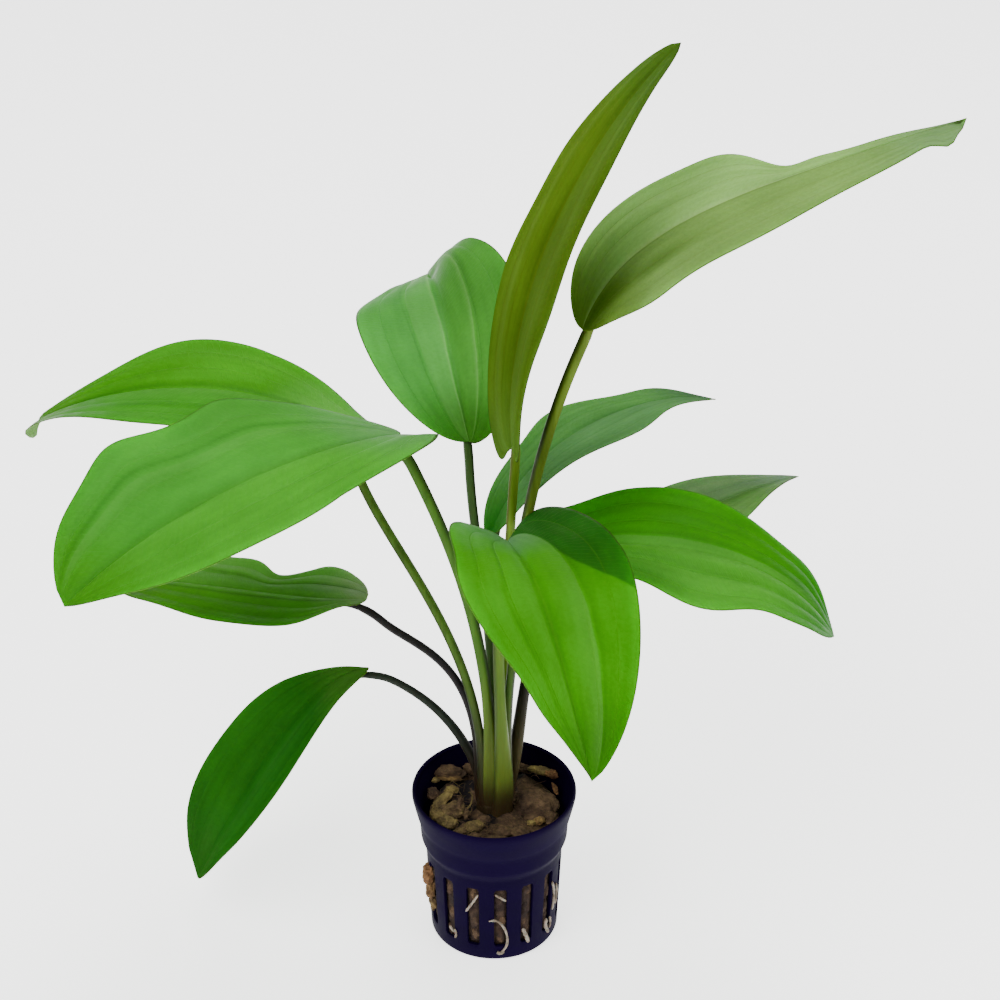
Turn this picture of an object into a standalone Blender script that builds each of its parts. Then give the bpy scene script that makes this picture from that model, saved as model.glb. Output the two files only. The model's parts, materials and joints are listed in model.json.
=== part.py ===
"""Potted Echinodorus (an amazon sword plant) in a small net pot.

Eleven broad leaves on long stalks rise from one crown, which sits in a plug of brown rock wool
inside a slotted net pot. The origin is the middle of the pot's underside, +Z is up, and -Y is the
side that the front leaf reaches towards. Driving dimensions are in millimetres and are turned into
metres when a mesh is made.
"""
import math

import bmesh
import bpy
from mathutils import Matrix, Vector

MM = 0.001
GAP = 0.3                      # clear space between neighbouring pieces

# Net pot
POT_HEIGHT = 58.0
RIM_RADIUS = 27.7
RIM_BAND = 22.5                # height of the wider band under the rim, with its sloping shoulder
SHOULDER_RISE = 4.5
SHOULDER_OUT = 1.6
FLARE_RISE = 12.0              # height of the flare from the band to the rim
BEAD_HEIGHT = 2.4              # lip around the rim
BEAD_OUT = 0.4
BEAD_ROUND = 0.5
WAIST_RADIUS = 23.3            # outer radius just under the band
FOOT_RADIUS = 21.8             # outer radius above the rounded foot corner
FOOT_CORNER = 1.6
POT_WALL = 1.2
POT_STEPS = 45
SLOT_COUNT = 15
SLOT_WIDTH = 4.6
SLOT_BOTTOM = 6.5
SLOT_TOP = 32.0
SLOT_TURN = 5.5                # the front slot stands this many degrees right of the middle
DRAIN_COUNT = 6
DRAIN_INNER = 7.0
DRAIN_OUTER = 15.0
DRAIN_WIDTH = 3.0

# Rock wool plug
PLUG_TOP = 50.0
PLUG_EDGE_TOP = 46.0
PLUG_SHOULDER = 2.0            # width of the slope at the plug's upper edge
PLUG_LUMP = 1.6                # height of the lumps on top
SLOT_FILL_DEPTH = 6.0          # how far the blocks in the slots reach into the plug
POCKET_RADIUS = 9.0
POCKET_FLOOR = 45.0

# Crown, from which all stalks grow
CROWN_BOTTOM = POCKET_FLOOR + GAP
CROWN_TOP = 54.0
CROWN_FOOT_RADIUS = 6.6
CROWN_HEAD_RADIUS = 8.0
CROWN_FLUTES = 9
CROWN_FLUTE_DEPTH = 0.05       # as a share of the radius

# Leaves
BLADE_THICKNESS = 0.6
STALK_FOOT_RADIUS = 1.6
STALK_HEAD_RADIUS = 1.4
STALK_SIDES = 7
STALK_RINGS = 9
BLADE_ROWS = 12
BLADE_COLUMNS = 8
LOBE_REACH = 0.3               # share of the blade over which the base lobes fade out

# Roots that show in the pot's slots
ROOT_RADIUS = 0.5
ROOT_SIDES = 6

GREEN = (0.10, 0.32, 0.05)
DEEP_GREEN = (0.05, 0.20, 0.04)
PALE_GREEN = (0.22, 0.42, 0.12)
OLIVE = (0.20, 0.26, 0.03)
STALK_GREEN = (0.12, 0.22, 0.04)
STALK_DARK = (0.03, 0.05, 0.03)

# One entry for each leaf. All places are millimetres in the plant's frame.
#   foot     where the stalk leaves the crown (x, y)
#   guides   the two points that steer the stalk between its foot and the blade
#   rib      the midrib: blade base, two steering points, tip
#   halves   greatest width left and right of the midrib, looking from the base to the tip
#   widest   how far along the blade each half is broadest
#   taper    how sharply each half narrows to the tip
#   lobes    how far the rounded base of each half reaches back past the stalk (under 0: it stays behind it)
#   left, right   degrees that each half stands above the midrib's own level, at the base and the tip
#   edge     swellings of the margin: half (0 left, 1 right), how far along, spread, and share of the width
#   heading  compass direction of the blade, only where the rib's own is too steep to give it
LEAVES = {
    "upright": dict(
        foot=(1.3, -0.6), guides=((4.1, 0.7, 99.6), (3.6, -2, 150)),
        rib=((5.7, -3.5, 193.2), (1.7, -2.5, 236.9), (20.5, -0, 290), (54.4, 11.8, 320.7)),
        halves=(27.1, 24.4), widest=(0.41, 0.39), taper=(0.46, 0.68), lobes=(17.8, 3.8),
        left=(10.9, -9.8), right=(-1.1, 1.3),
        edge=((1, 0.5, 0.18, 0.15), (0, 0.85, 0.1, 0.12)), heading=8,
        colour=OLIVE, stalk_colour=STALK_GREEN),
    "high_right": dict(
        foot=(4.3, 1.5), guides=((2.7, 6.1, 112.2), (7.9, 4.8, 178.6)),
        rib=((27.1, -0.8, 233.1), (36.5, -0.6, 269), (71.8, 0.9, 278.5), (137.9, 4.8, 300.2)),
        halves=(32.4, 30.3), widest=(0.24, 0.35), taper=(1.49, 0.89), lobes=(6.2, -5.3),
        left=(6.1, -8.7), right=(-3.1, -0.1),
        edge=((0, 0.48, 0.08, 0.15), (0, 0.61, 0.06, -0.51), (0, 0.74, 0.13, -0.53),
              (1, 0.22, 0.12, 0.14), (1, 0.95, 0.03, 1.51)),
        colour=PALE_GREEN, stalk_colour=STALK_GREEN),
    "back": dict(
        foot=(-2.1, 0.8), guides=((4.1, 9, 109.9), (-8.4, 11.1, 149.2)),
        rib=((-7.6, 15.5, 184.1), (-13, 29.2, 205.7), (-17.7, 58.3, 223.3), (-22.8, 101.2, 199.6)),
        halves=(28.5, 26.2), widest=(0.54, 0.45), taper=(0.51, 0.92), lobes=(0.2, 3.1),
        left=(-4.9, -18.8), right=(15.8, 49.1),
        edge=((0, 0.88, 0.1, -0.18), (1, 0.88, 0.1, 0.17)), colour=GREEN, stalk_colour=STALK_DARK),
    "high_left": dict(
        foot=(-4.3, -2.3), guides=((0.7, 1.2, 123.2), (-46, 14.4, 152.8)),
        rib=((-46, 22.7, 185.1), (-69.5, 25.8, 199), (-114.6, 38, 200), (-154.2, 44.2, 172.4)),
        halves=(27.7, 31.5), widest=(0.41, 0.43), taper=(0.78, 1.57), lobes=(13, 14),
        left=(-7.9, 16), right=(-11.1, 15.1),
        edge=((1, 0.75, 0.14, -0.2), (0, 0.97, 0.03, 0.8), (1, 0.97, 0.03, 0.74)),
        colour=GREEN, stalk_colour=STALK_GREEN),
    "front_left": dict(
        foot=(-0.5, -3.8), guides=((-0, -2.5, 117.5), (-10.5, -4, 153.5)),
        rib=((-29.2, 0.3, 195.7), (-53.7, -14.2, 202.6), (-98.5, -42.5, 197), (-126.6, -61.7, 173.4)),
        halves=(32.9, 35.6), widest=(0.48, 0.52), taper=(0.9, 0.66), lobes=(15, 4.5),
        left=(8.2, -2.2), right=(-7.2, 20.1),
        edge=((0, 0.9, 0.07, -0.05), (1, 0.66, 0.1, 0.17), (1, 0.9, 0.08, 0.04), (1, 0.3, 0.12, 0.34),
              (1, 0.15, 0.08, 0.23)),
        colour=GREEN, stalk_colour=STALK_GREEN),
    "front": dict(
        foot=(3.2, -4.2), guides=((3.4, -8.7, 91.1), (-1.3, -7, 130)),
        rib=((4.3, -13.3, 165), (11.8, -38.6, 171), (14.3, -72.9, 192.6), (28.8, -95.6, 134.8)),
        halves=(28.5, 28), widest=(0.39, 0.35), taper=(0.67, 1.32), lobes=(18.2, 10.7),
        left=(17.3, -2.4), right=(29.6, 4.3),
        edge=((1, 0.03, 0.05, -0.34), (1, 0.7, 0.12, -0.16), (1, 0.88, 0.08, -0.12),
              (1, 0.3, 0.12, -0.11)), colour=GREEN, stalk_colour=STALK_GREEN),
    "mid_left": dict(
        foot=(-5.6, 1.0), guides=((-1.7, 4.6, 118.9), (-34.5, 9.7, 106.6)),
        rib=((-41.4, 8.1, 128.8), (-63.6, 11.2, 125.7), (-98, 24.2, 126.4), (-125.9, 36.3, 117.7)),
        halves=(26.4, 28.1), widest=(0.39, 0.29), taper=(0.6, 0.71), lobes=(-1.5, -4.6),
        left=(9.3, 8.5), right=(-13.3, -8.8),
        edge=((0, 0.05, 0.09, -0.65), (0, 0.7, 0.2, -0.07), (1, 0.4, 0.1, -0.43), (1, 0.62, 0.08, 0.04),
              (0, 0.3, 0.1, 0.03), (1, 0.8, 0.1, 0.69)),
        colour=DEEP_GREEN, stalk_colour=STALK_DARK),
    "low_left": dict(
        foot=(-3.8, 4.0), guides=((-9.6, 10.2, 80.3), (-28.5, 8.9, 94.4)),
        rib=((-41.5, 6, 103), (-60.8, 7.3, 100.1), (-82.9, 5.4, 60.7), (-102.5, 1.5, 17.2)),
        halves=(32.1, 30.2), widest=(0.52, 0.73), taper=(0.81, 0.4), lobes=(1.7, -1.5),
        left=(-0.5, 3.7), right=(13.6, 16.8),
        edge=((0, 0.85, 0.2, -0.26),), colour=DEEP_GREEN, stalk_colour=STALK_DARK),
    "right": dict(
        foot=(5.8, -1.5), guides=((2.1, -4.1, 89.5), (5.7, -6.5, 130)),
        rib=((15.4, -8.5, 160.2), (38.4, -9.4, 162.2), (87.2, -16, 171.4), (107.3, -22, 135)),
        halves=(30.9, 32.7), widest=(0.33, 0.57), taper=(0.74, 0.85), lobes=(4.7, 4),
        left=(9, -5.4), right=(-4.1, 5),
        edge=((0, 0.1, 0.12, -0.3), (1, 0.3, 0.12, -0.15), (1, 0.7, 0.12, -0.21), (0, 0.88, 0.1, 0.31),
              (1, 0.88, 0.1, -0.13)), colour=GREEN, stalk_colour=STALK_DARK),
    "far_right": dict(
        foot=(4.4, 4.9), guides=((12.2, 7.3, 88.8), (6.3, 16.4, 115.6)),
        rib=((32.1, 22, 127.9), (50.3, 37.7, 136.5), (82.3, 62.5, 137.7), (106, 80.3, 131.5)),
        halves=(19.2, 17.5), widest=(0.38, 0.38), taper=(0.96, 1.24), lobes=(4, 4),
        left=(-1.2, 0.6), right=(-0.4, -0.2),
        edge=((1, 0.85, 0.18, -0.23),), colour=DEEP_GREEN, stalk_colour=STALK_DARK),
    "back_right": dict(
        foot=(-0.2, 3.6), guides=((-1, 12, 90), (-3, 13, 125)),
        rib=((-0.8, 13.7, 150.5), (7.4, 24.2, 174.3), (39.7, 45.2, 187.2), (74.2, 65, 171.1)),
        halves=(23.3, 25.9), widest=(0.41, 0.46), taper=(0.98, 0.86), lobes=(5.5, 1.3),
        left=(-25, -4.2), right=(26.5, 21.5),
        edge=((0, 0.3, 0.12, -0.22), (0, 0.7, 0.12, -0.29), (1, 0.5, 0.12, 0.3)),
        colour=GREEN, stalk_colour=STALK_DARK),
}

# Roots by slot number, counted to the right from the front slot: places are (degrees off the slot's
# middle, height), and the root lies across the slot just outside the wall
ROOTS = {
    "root_diagonal": (-1, ((-5, 19), (-1, 22.5), (4, 26))),
    "root_cross": (0, ((-4, 26), (0, 24), (4, 22))),
    "root_hanging": (0, ((-4, 17.5), (2, 15), (5, 9), (2, 3.5))),
    "root_stub": (1, ((-3, 10.5), (-1, 7.5), (1, 5.2))),
    "root_side": (2, ((-3, 14), (2, 10), (1, 6))),
}


def clear_scene():
    for old in list(bpy.data.objects):
        bpy.data.objects.remove(old, do_unlink=True)


def make_material(name, colour, roughness, metallic=0.0):
    material = bpy.data.materials.new(name)
    material.use_nodes = True
    shader = material.node_tree.nodes["Principled BSDF"]
    shader.inputs["Base Color"].default_value = (*colour, 1.0)
    shader.inputs["Roughness"].default_value = roughness
    shader.inputs["Metallic"].default_value = metallic
    return material


def add_object(name, bm, material, smooth=True):
    """Turns a bmesh in millimetres into an object in metres."""
    bmesh.ops.scale(bm, vec=(MM, MM, MM), verts=bm.verts)
    mesh = bpy.data.meshes.new(name)
    bm.to_mesh(mesh)
    bm.free()
    if smooth:
        mesh.shade_smooth()
        mesh.set_sharp_from_angle(angle=math.radians(40))
    obj = bpy.data.objects.new(name, mesh)
    if material is not None:
        mesh.materials.append(material)
    bpy.context.scene.collection.objects.link(obj)
    return obj


def hide_cutter(obj):
    obj.hide_render = True
    obj.display_type = "WIRE"


def add_boolean(obj, tool, operation):
    modifier = obj.modifiers.new(operation.lower(), "BOOLEAN")
    modifier.operation = operation
    modifier.solver = "EXACT"
    modifier.object = tool


def lathe(profile, steps):
    """Spins a profile of (radius, height) pairs about Z. It starts and ends on the axis."""
    bm = bmesh.new()
    verts = [bm.verts.new((radius, 0, height)) for radius, height in profile]
    edges = [bm.edges.new(pair) for pair in zip(verts, verts[1:])]
    bmesh.ops.spin(bm, geom=verts + edges, cent=(0, 0, 0), axis=(0, 0, 1),
                   angle=math.tau, steps=steps, use_merge=True)
    bmesh.ops.remove_doubles(bm, verts=bm.verts, dist=0.0001)
    bmesh.ops.recalc_face_normals(bm, faces=bm.faces)
    return bm


def ray_boxes(count, turn, inner, outer, width, bottom, top):
    """Boxes that point away from the axis, evenly spaced, the first one at the turn angle."""
    bm = bmesh.new()
    size = Vector((outer - inner, width, top - bottom))
    centre = Vector(((outer + inner) / 2, 0, (top + bottom) / 2))
    for index in range(count):
        angle = math.radians(turn + 360 * index / count)
        place = Matrix.Rotation(angle, 4, "Z") @ Matrix.Translation(centre)
        bmesh.ops.create_cube(bm, size=1, matrix=place @ Matrix.Diagonal((*size, 1)))
    return bm


def wall_radius(height):
    """Outer radius of the pot's straight wall between its foot and its band."""
    share = (height - FOOT_CORNER) / (POT_HEIGHT - RIM_BAND - FOOT_CORNER)
    return FOOT_RADIUS + (WAIST_RADIUS - FOOT_RADIUS) * share


def pot_profile():
    waist = POT_HEIGHT - RIM_BAND
    shoulder = waist + SHOULDER_RISE
    flare = POT_HEIGHT - FLARE_RISE
    band = WAIST_RADIUS + SHOULDER_OUT
    corner = [(FOOT_RADIUS - FOOT_CORNER * (1 - math.sin(a)), FOOT_CORNER * (1 - math.cos(a)))
              for a in (0, math.pi / 4, math.pi / 2)]
    outside = [(0, 0)] + corner + [
        (WAIST_RADIUS, waist), (band, shoulder), (band + BEAD_OUT, flare),
        (RIM_RADIUS - BEAD_OUT, POT_HEIGHT - BEAD_HEIGHT - BEAD_ROUND),
        (RIM_RADIUS, POT_HEIGHT - BEAD_HEIGHT),
        (RIM_RADIUS, POT_HEIGHT - BEAD_ROUND), (RIM_RADIUS - BEAD_ROUND, POT_HEIGHT)]
    mouth = RIM_RADIUS - BEAD_ROUND - POT_WALL
    inside = [
        (mouth, POT_HEIGHT), (mouth - BEAD_ROUND, POT_HEIGHT - BEAD_ROUND),
        (band + BEAD_OUT - POT_WALL, flare), (band - POT_WALL, shoulder), (WAIST_RADIUS - POT_WALL, waist),
        (FOOT_RADIUS - POT_WALL, FOOT_CORNER), (FOOT_RADIUS - FOOT_CORNER, POT_WALL), (0, POT_WALL)]
    return outside + inside


def build_pot():
    plastic = make_material("pot_plastic", (0.010, 0.009, 0.030), 0.35)
    pot = add_object("net_pot", lathe(pot_profile(), POT_STEPS), plastic)
    slots = ray_boxes(SLOT_COUNT, SLOT_TURN - 90, FOOT_RADIUS - 2 * POT_WALL, RIM_RADIUS, SLOT_WIDTH,
                      SLOT_BOTTOM, SLOT_TOP)
    slot_cutter = add_object("slot_cutter", slots, None, smooth=False)
    drains = ray_boxes(DRAIN_COUNT, 0, DRAIN_INNER, DRAIN_OUTER, DRAIN_WIDTH, -POT_WALL, 2 * POT_WALL)
    drain_cutter = add_object("drain_cutter", drains, None, smooth=False)
    for cutter in (slot_cutter, drain_cutter):
        hide_cutter(cutter)
        add_boolean(pot, cutter, "DIFFERENCE")


def lump(x, y):
    """Height of the wool's lumps at a place on its top, from -1 to 1."""
    return (math.sin(0.42 * x + 1.1) * math.cos(0.37 * y - 0.6) + 0.6 * math.sin(0.71 * y + 0.5 * x)) / 1.6


def build_plug():
    """The rock wool: a plug inside the pot, with a block that fills each slot."""
    wool = make_material("rock_wool", (0.10, 0.06, 0.03), 0.95)
    clear = POT_WALL + GAP
    edge = wall_radius(PLUG_EDGE_TOP) - clear
    inside = edge - PLUG_SHOULDER
    top = [(inside + (POCKET_RADIUS - inside) * share, PLUG_TOP) for share in (0, 0.25, 0.5, 0.75, 0.95)]
    profile = [(0, clear), (FOOT_RADIUS - FOOT_CORNER - GAP, clear),
               (FOOT_RADIUS - clear, FOOT_CORNER + GAP), (edge, PLUG_EDGE_TOP)]
    profile += top + [(POCKET_RADIUS, POCKET_FLOOR), (0, POCKET_FLOOR)]
    bm = lathe(profile, POT_STEPS)
    for vert in bm.verts:
        if vert.co.z > PLUG_TOP - 0.01:
            vert.co.z += PLUG_LUMP * lump(vert.co.x, vert.co.y)
    plug = add_object("rock_wool_plug", bm, wool)
    fills = ray_boxes(SLOT_COUNT, SLOT_TURN - 90, FOOT_RADIUS - SLOT_FILL_DEPTH, FOOT_RADIUS - GAP,
                      SLOT_WIDTH - 2 * GAP, SLOT_BOTTOM + GAP, SLOT_TOP - GAP)
    fill = add_object("slot_fill", fills, None, smooth=False)
    hide_cutter(fill)
    add_boolean(plug, fill, "UNION")


def build_crown():
    """A short fluted stump that the stalks stand on."""
    tissue = make_material("crown_tissue", (0.16, 0.17, 0.04), 0.6)
    bm = lathe([(0, CROWN_BOTTOM), (CROWN_FOOT_RADIUS, CROWN_BOTTOM),
                (CROWN_HEAD_RADIUS, CROWN_TOP), (0, CROWN_TOP)], 4 * CROWN_FLUTES)
    for vert in bm.verts:
        angle = math.atan2(vert.co.y, vert.co.x)
        share = 1 + CROWN_FLUTE_DEPTH * math.cos(CROWN_FLUTES * angle)
        vert.co.x *= share
        vert.co.y *= share
    add_object("crown", bm, tissue)


def bezier(points, t):
    a, b, c, d = (Vector(point) for point in points)
    s = 1 - t
    return a * s**3 + b * 3 * s * s * t + c * 3 * s * t * t + d * t**3


def bezier_direction(points, t):
    a, b, c, d = (Vector(point) for point in points)
    s = 1 - t
    return ((b - a) * s * s + (c - b) * 2 * s * t + (d - c) * t * t).normalized()


class Path:
    """A Bezier curve that can be read by distance along it, and runs straight on past both ends."""

    def __init__(self, points, samples=120):
        self.points = points
        self.lengths = [0.0]
        last = bezier(points, 0)
        for index in range(1, samples + 1):
            place = bezier(points, index / samples)
            self.lengths.append(self.lengths[-1] + (place - last).length)
            last = place
        self.length = self.lengths[-1]

    def at(self, distance):
        inside = min(max(distance, 0.0), self.length)
        index = next(i for i in range(1, len(self.lengths)) if self.lengths[i] >= inside)
        before, after = self.lengths[index - 1], self.lengths[index]
        t = (index - 1 + (inside - before) / (after - before)) / (len(self.lengths) - 1)
        direction = bezier_direction(self.points, t)
        return bezier(self.points, t) + direction * (distance - inside), direction


def blend(pair, share):
    share = min(max(share, 0.0), 1.0)
    return pair[0] + (pair[1] - pair[0]) * share


def blade_frame(leaf, direction):
    """The blade's right-hand side and its upper face's normal, where the midrib has this direction."""
    base, tip = Vector(leaf["rib"][0]), Vector(leaf["rib"][3])
    heading = math.atan2(tip.y - base.y, tip.x - base.x)
    if "heading" in leaf:
        heading = math.radians(leaf["heading"])
    right = Vector((math.sin(heading), -math.cos(heading), 0))
    right = (right - direction * right.dot(direction)).normalized()
    return right, right.cross(direction)


def blade_point(leaf, path, u, v):
    """A point of the blade: u runs from base to tip and v from the left margin to the right one."""
    side, lift = (0, leaf["left"]) if v < 0 else (1, leaf["right"])
    widest, taper = leaf["widest"][side], leaf["taper"][side]
    swell = taper * widest / (1 - widest)
    width = (u / widest)**swell * ((1 - u) / (1 - widest))**taper
    for half, centre, spread, share in leaf.get("edge", ()):
        if half == side:
            width *= 1 + share * math.exp(-((u - centre) / spread)**2)
    fade = min(1.0, math.sqrt(u / LOBE_REACH))
    along = u * path.length - leaf["lobes"][side] * abs(v)**1.6 * 4 * fade * (1 - fade)
    place, direction = path.at(along)
    right, up = blade_frame(leaf, direction)
    angle = math.radians(blend(lift, along / path.length))
    reach = v * leaf["halves"][side] * width
    return place + right * reach * math.cos(angle) + up * abs(reach) * math.sin(angle)


def build_blade(name, leaf, material):
    path = Path(leaf["rib"])
    bm = bmesh.new()
    rows = []
    for row in range(BLADE_ROWS + 1):
        share = row / BLADE_ROWS
        u = 0.9 * share**1.6 + 0.1 * share
        rows.append([bm.verts.new(blade_point(leaf, path, u, 2 * column / BLADE_COLUMNS - 1))
                     for column in range(BLADE_COLUMNS + 1)])
    for near, far in zip(rows, rows[1:]):
        for column in range(BLADE_COLUMNS):
            bm.faces.new((near[column], near[column + 1], far[column + 1], far[column]))
    bmesh.ops.remove_doubles(bm, verts=bm.verts, dist=0.001)
    obj = add_object("leaf_" + name, bm, material)
    shell = obj.modifiers.new("thickness", "SOLIDIFY")
    shell.thickness = BLADE_THICKNESS * MM
    shell.offset = 0


def stalk_points(leaf):
    """The stalk runs from the crown to just under the blade's base."""
    direction = bezier_direction(leaf["rib"], 0)
    up = blade_frame(leaf, direction)[1]
    head = Vector(leaf["rib"][0]) - up * (STALK_HEAD_RADIUS + BLADE_THICKNESS / 2 + GAP)
    return (Vector((*leaf["foot"], CROWN_TOP + GAP)), *leaf["guides"], head)


def build_tube(name, places, radii, sides, material, first=None):
    """A tapered tube with flat ends through a list of places. It may set off in a direction of its own."""
    bm = bmesh.new()
    rings = []
    across = (first or places[1] - places[0]).orthogonal()
    for index, (place, radius) in enumerate(zip(places, radii)):
        ahead = places[min(index + 1, len(places) - 1)]
        behind = places[max(index - 1, 0)]
        onward = (first if first and index == 0 else ahead - behind).normalized()
        # each ring keeps the turn of the one before, so that the tube doesn't twist
        across = (across - onward * across.dot(onward)).normalized()
        other = onward.cross(across)
        ring = [place + (across * math.cos(a) + other * math.sin(a)) * radius
                for a in (math.tau * k / sides for k in range(sides))]
        rings.append([bm.verts.new(point) for point in ring])
    for low, high in zip(rings, rings[1:]):
        for k in range(sides):
            bm.faces.new((low[k], low[(k + 1) % sides], high[(k + 1) % sides], high[k]))
    bm.faces.new(rings[0][::-1])
    bm.faces.new(rings[-1])
    bmesh.ops.recalc_face_normals(bm, faces=bm.faces)
    bmesh.ops.triangulate(bm, faces=bm.faces)
    add_object(name, bm, material)


def build_stalk(name, leaf, material):
    path = Path(stalk_points(leaf))
    shares = [index / STALK_RINGS for index in range(STALK_RINGS + 1)]
    places = [path.at(share * path.length)[0] for share in shares]
    radii = [blend((STALK_FOOT_RADIUS, STALK_HEAD_RADIUS), share) for share in shares]
    build_tube("stalk_" + name, places, radii, STALK_SIDES, material, first=Vector((0, 0, 1)))


def build_roots():
    white = make_material("root_white", (0.62, 0.56, 0.42), 0.6)
    for name, (slot, route) in ROOTS.items():
        places = []
        for degrees, height in route:
            angle = math.radians(SLOT_TURN - 90 + 360 * slot / SLOT_COUNT + degrees)
            radius = max(wall_radius(height), FOOT_RADIUS) + ROOT_RADIUS + GAP
            places.append(Vector((radius * math.cos(angle), radius * math.sin(angle), height)))
        build_tube(name, places, [ROOT_RADIUS] * len(places), ROOT_SIDES, white)


def main():
    clear_scene()
    build_pot()
    build_plug()
    build_crown()
    build_roots()
    for name, leaf in LEAVES.items():
        build_blade(name, leaf, make_material("blade_" + name, leaf["colour"], 0.45))
        build_stalk(name, leaf, make_material("stalk_" + name, leaf["stalk_colour"], 0.5))


main()
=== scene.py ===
"""Looks for a potted echinodorus: leaf blades, stalks, crown, rock wool, roots and net pot.

Lengths are millimetres in the part's own frame, and mesh_object turns them into metres. Camera and
lights stand in metres. Places on the pot's wall are degrees from its front, -Y.
"""
import functools
import json
import math

import bpy
import numpy as np
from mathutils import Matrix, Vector, noise


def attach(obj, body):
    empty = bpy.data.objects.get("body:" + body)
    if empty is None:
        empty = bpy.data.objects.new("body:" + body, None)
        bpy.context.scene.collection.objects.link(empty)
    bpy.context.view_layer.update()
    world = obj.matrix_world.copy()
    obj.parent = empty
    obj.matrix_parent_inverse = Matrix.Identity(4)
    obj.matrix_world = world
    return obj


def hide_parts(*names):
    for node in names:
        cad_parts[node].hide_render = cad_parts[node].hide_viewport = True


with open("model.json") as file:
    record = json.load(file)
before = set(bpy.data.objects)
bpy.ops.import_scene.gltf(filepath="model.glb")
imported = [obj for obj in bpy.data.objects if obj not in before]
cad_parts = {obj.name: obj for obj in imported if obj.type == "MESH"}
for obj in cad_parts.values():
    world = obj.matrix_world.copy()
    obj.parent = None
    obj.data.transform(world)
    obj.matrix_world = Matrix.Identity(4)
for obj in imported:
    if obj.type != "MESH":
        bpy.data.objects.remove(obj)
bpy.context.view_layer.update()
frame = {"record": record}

MM = 0.001

# Net pot, as the part's source has it and explains it
POT_HEIGHT = 58.0
RIM_RADIUS = 27.7
RIM_BAND = 22.5
SHOULDER_RISE = 4.5
SHOULDER_OUT = 1.6
FLARE_RISE = 12.0
BEAD_OUT = 0.4
WAIST_RADIUS = 23.3
FOOT_RADIUS = 21.8
FOOT_CORNER = 1.6
POT_WALL = 1.2
EDGE_ROUND = 0.22
SLOT_COUNT = 15
SLOT_WIDTH = 4.6
SLOT_BOTTOM = 6.5
SLOT_TOP = 32.0
SLOT_TURN = 5.5  # the front slot is this many degrees right of the middle
SLOT_END = 0.7  # height of a slot's narrower ends
HUB_RADIUS = 7.0  # raised middle of the underside
HUB_RISE = 0.6
DRAIN_COUNT = 6
DRAIN_INNER = 7.5
DRAIN_OUTER = 15.0
DRAIN_WIDTH = 3.0

WAIST_HEIGHT = POT_HEIGHT - RIM_BAND
SHOULDER_HEIGHT = WAIST_HEIGHT + SHOULDER_RISE
FLARE_HEIGHT = POT_HEIGHT - FLARE_RISE
BAND_RADIUS = WAIST_RADIUS + SHOULDER_OUT
SLOT_PITCH = 360 / SLOT_COUNT
DRAIN_PITCH = 360 / DRAIN_COUNT

# Rock wool plug, crown and the lower ends of the stalks
WOOL_TOP = 50.0
WOOL_SIDES = 240
PLUG_FOOT_RADIUS = 17.6
PLUG_CLEAR = 0.35  # between the plug and the pot's wall
CROWN_TOP = 54.0
STUMP_BOTTOM = 45.6
STUMP_TOP = CROWN_TOP - 0.6
STUMP_RADIUS = 5.0
STALK_START = 47.0
STALK_SIDES = 18
BROWN_FOOT = 53.0  # height where the stalks' brown feet start to turn green
BROWN_END = 69.0

# Leaf blades and stalks: foot to edge and heading are as in the part's source, and the rest says what the
# solid leaves out. Colours are sRGB, 0 to 255. Left and right are seen from the base to the tip.
#   stalk    radius at foot and head, and how many times wider the sheath is at the foot
#   shine    strength of the reflections, where it isn't the usual one
#   quilt    how high the tissue stands between the veins
#   wave     height, count and phase of the wavy margin
#   folds    soft dents and bulges: (place along, place across, reach along, reach across, height)
#    shade_bands  painted shade (under 0) and painted sheen (over 0) in bands, from the left margin to the
#    right: (place, tone)
#    green    colours of the left half, the right half, the base and the tip; the two halves differ partly in their own green and partly by painted sheen and shade
#   vein     colour of the veins and how strongly it shows
#    stem     colours of the stalk's foot and head, of the painted shade down one side (reddish brown on some), and which side that shade is on
#   spots    dark spots: (place along, place across, reach along, reach across, strength)
#    cast_shadow  painted shadow of the leaf behind, over the outer part of the left half: where its line
#    starts across, turns along, and its bend
#    mark     colour of the dark spots, and of the painted shadow
LEAVES = {}
LEAVES["upright"] = dict(
    foot=(1.3, -0.6), guides=((4.1, 0.7, 99.6), (3.6, -2, 150)),
    rib=((5.7, -3.5, 193.2), (1.7, -2.5, 236.9), (20.5, 0, 290), (54.4, 11.8, 320.7)),
    halves=(27.1, 24.4), widest=(0.41, 0.39), taper=(0.46, 0.68), lobes=(17.8, 3.8),
    left=(10.9, -9.8), right=(-1.1, 1.3), edge=((1, 0.5, 0.18, 0.15), (0, 0.85, 0.1, 0.12)), heading=8,
    stalk=(1.5, 1.5, 1.5), shine=0.0, quilt=0.3, wave=(0.4, 3.0, 0.2),
    shade_bands=((-1, 0.05), (-0.6, 0.15), (-0.25, -0.15), (-0.05, -0.35), (0.1, 0.1), (0.5, 0.15), (0.9, 0),
        (1, 0.1)),
    green=((62, 87, 16), (54, 78, 16), (62, 91, 30), (46, 74, 22)), vein=((70, 64, 10), 0.5),
    stem=((84, 104, 28), (78, 104, 24), (70, 72, 24), -1))
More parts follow.
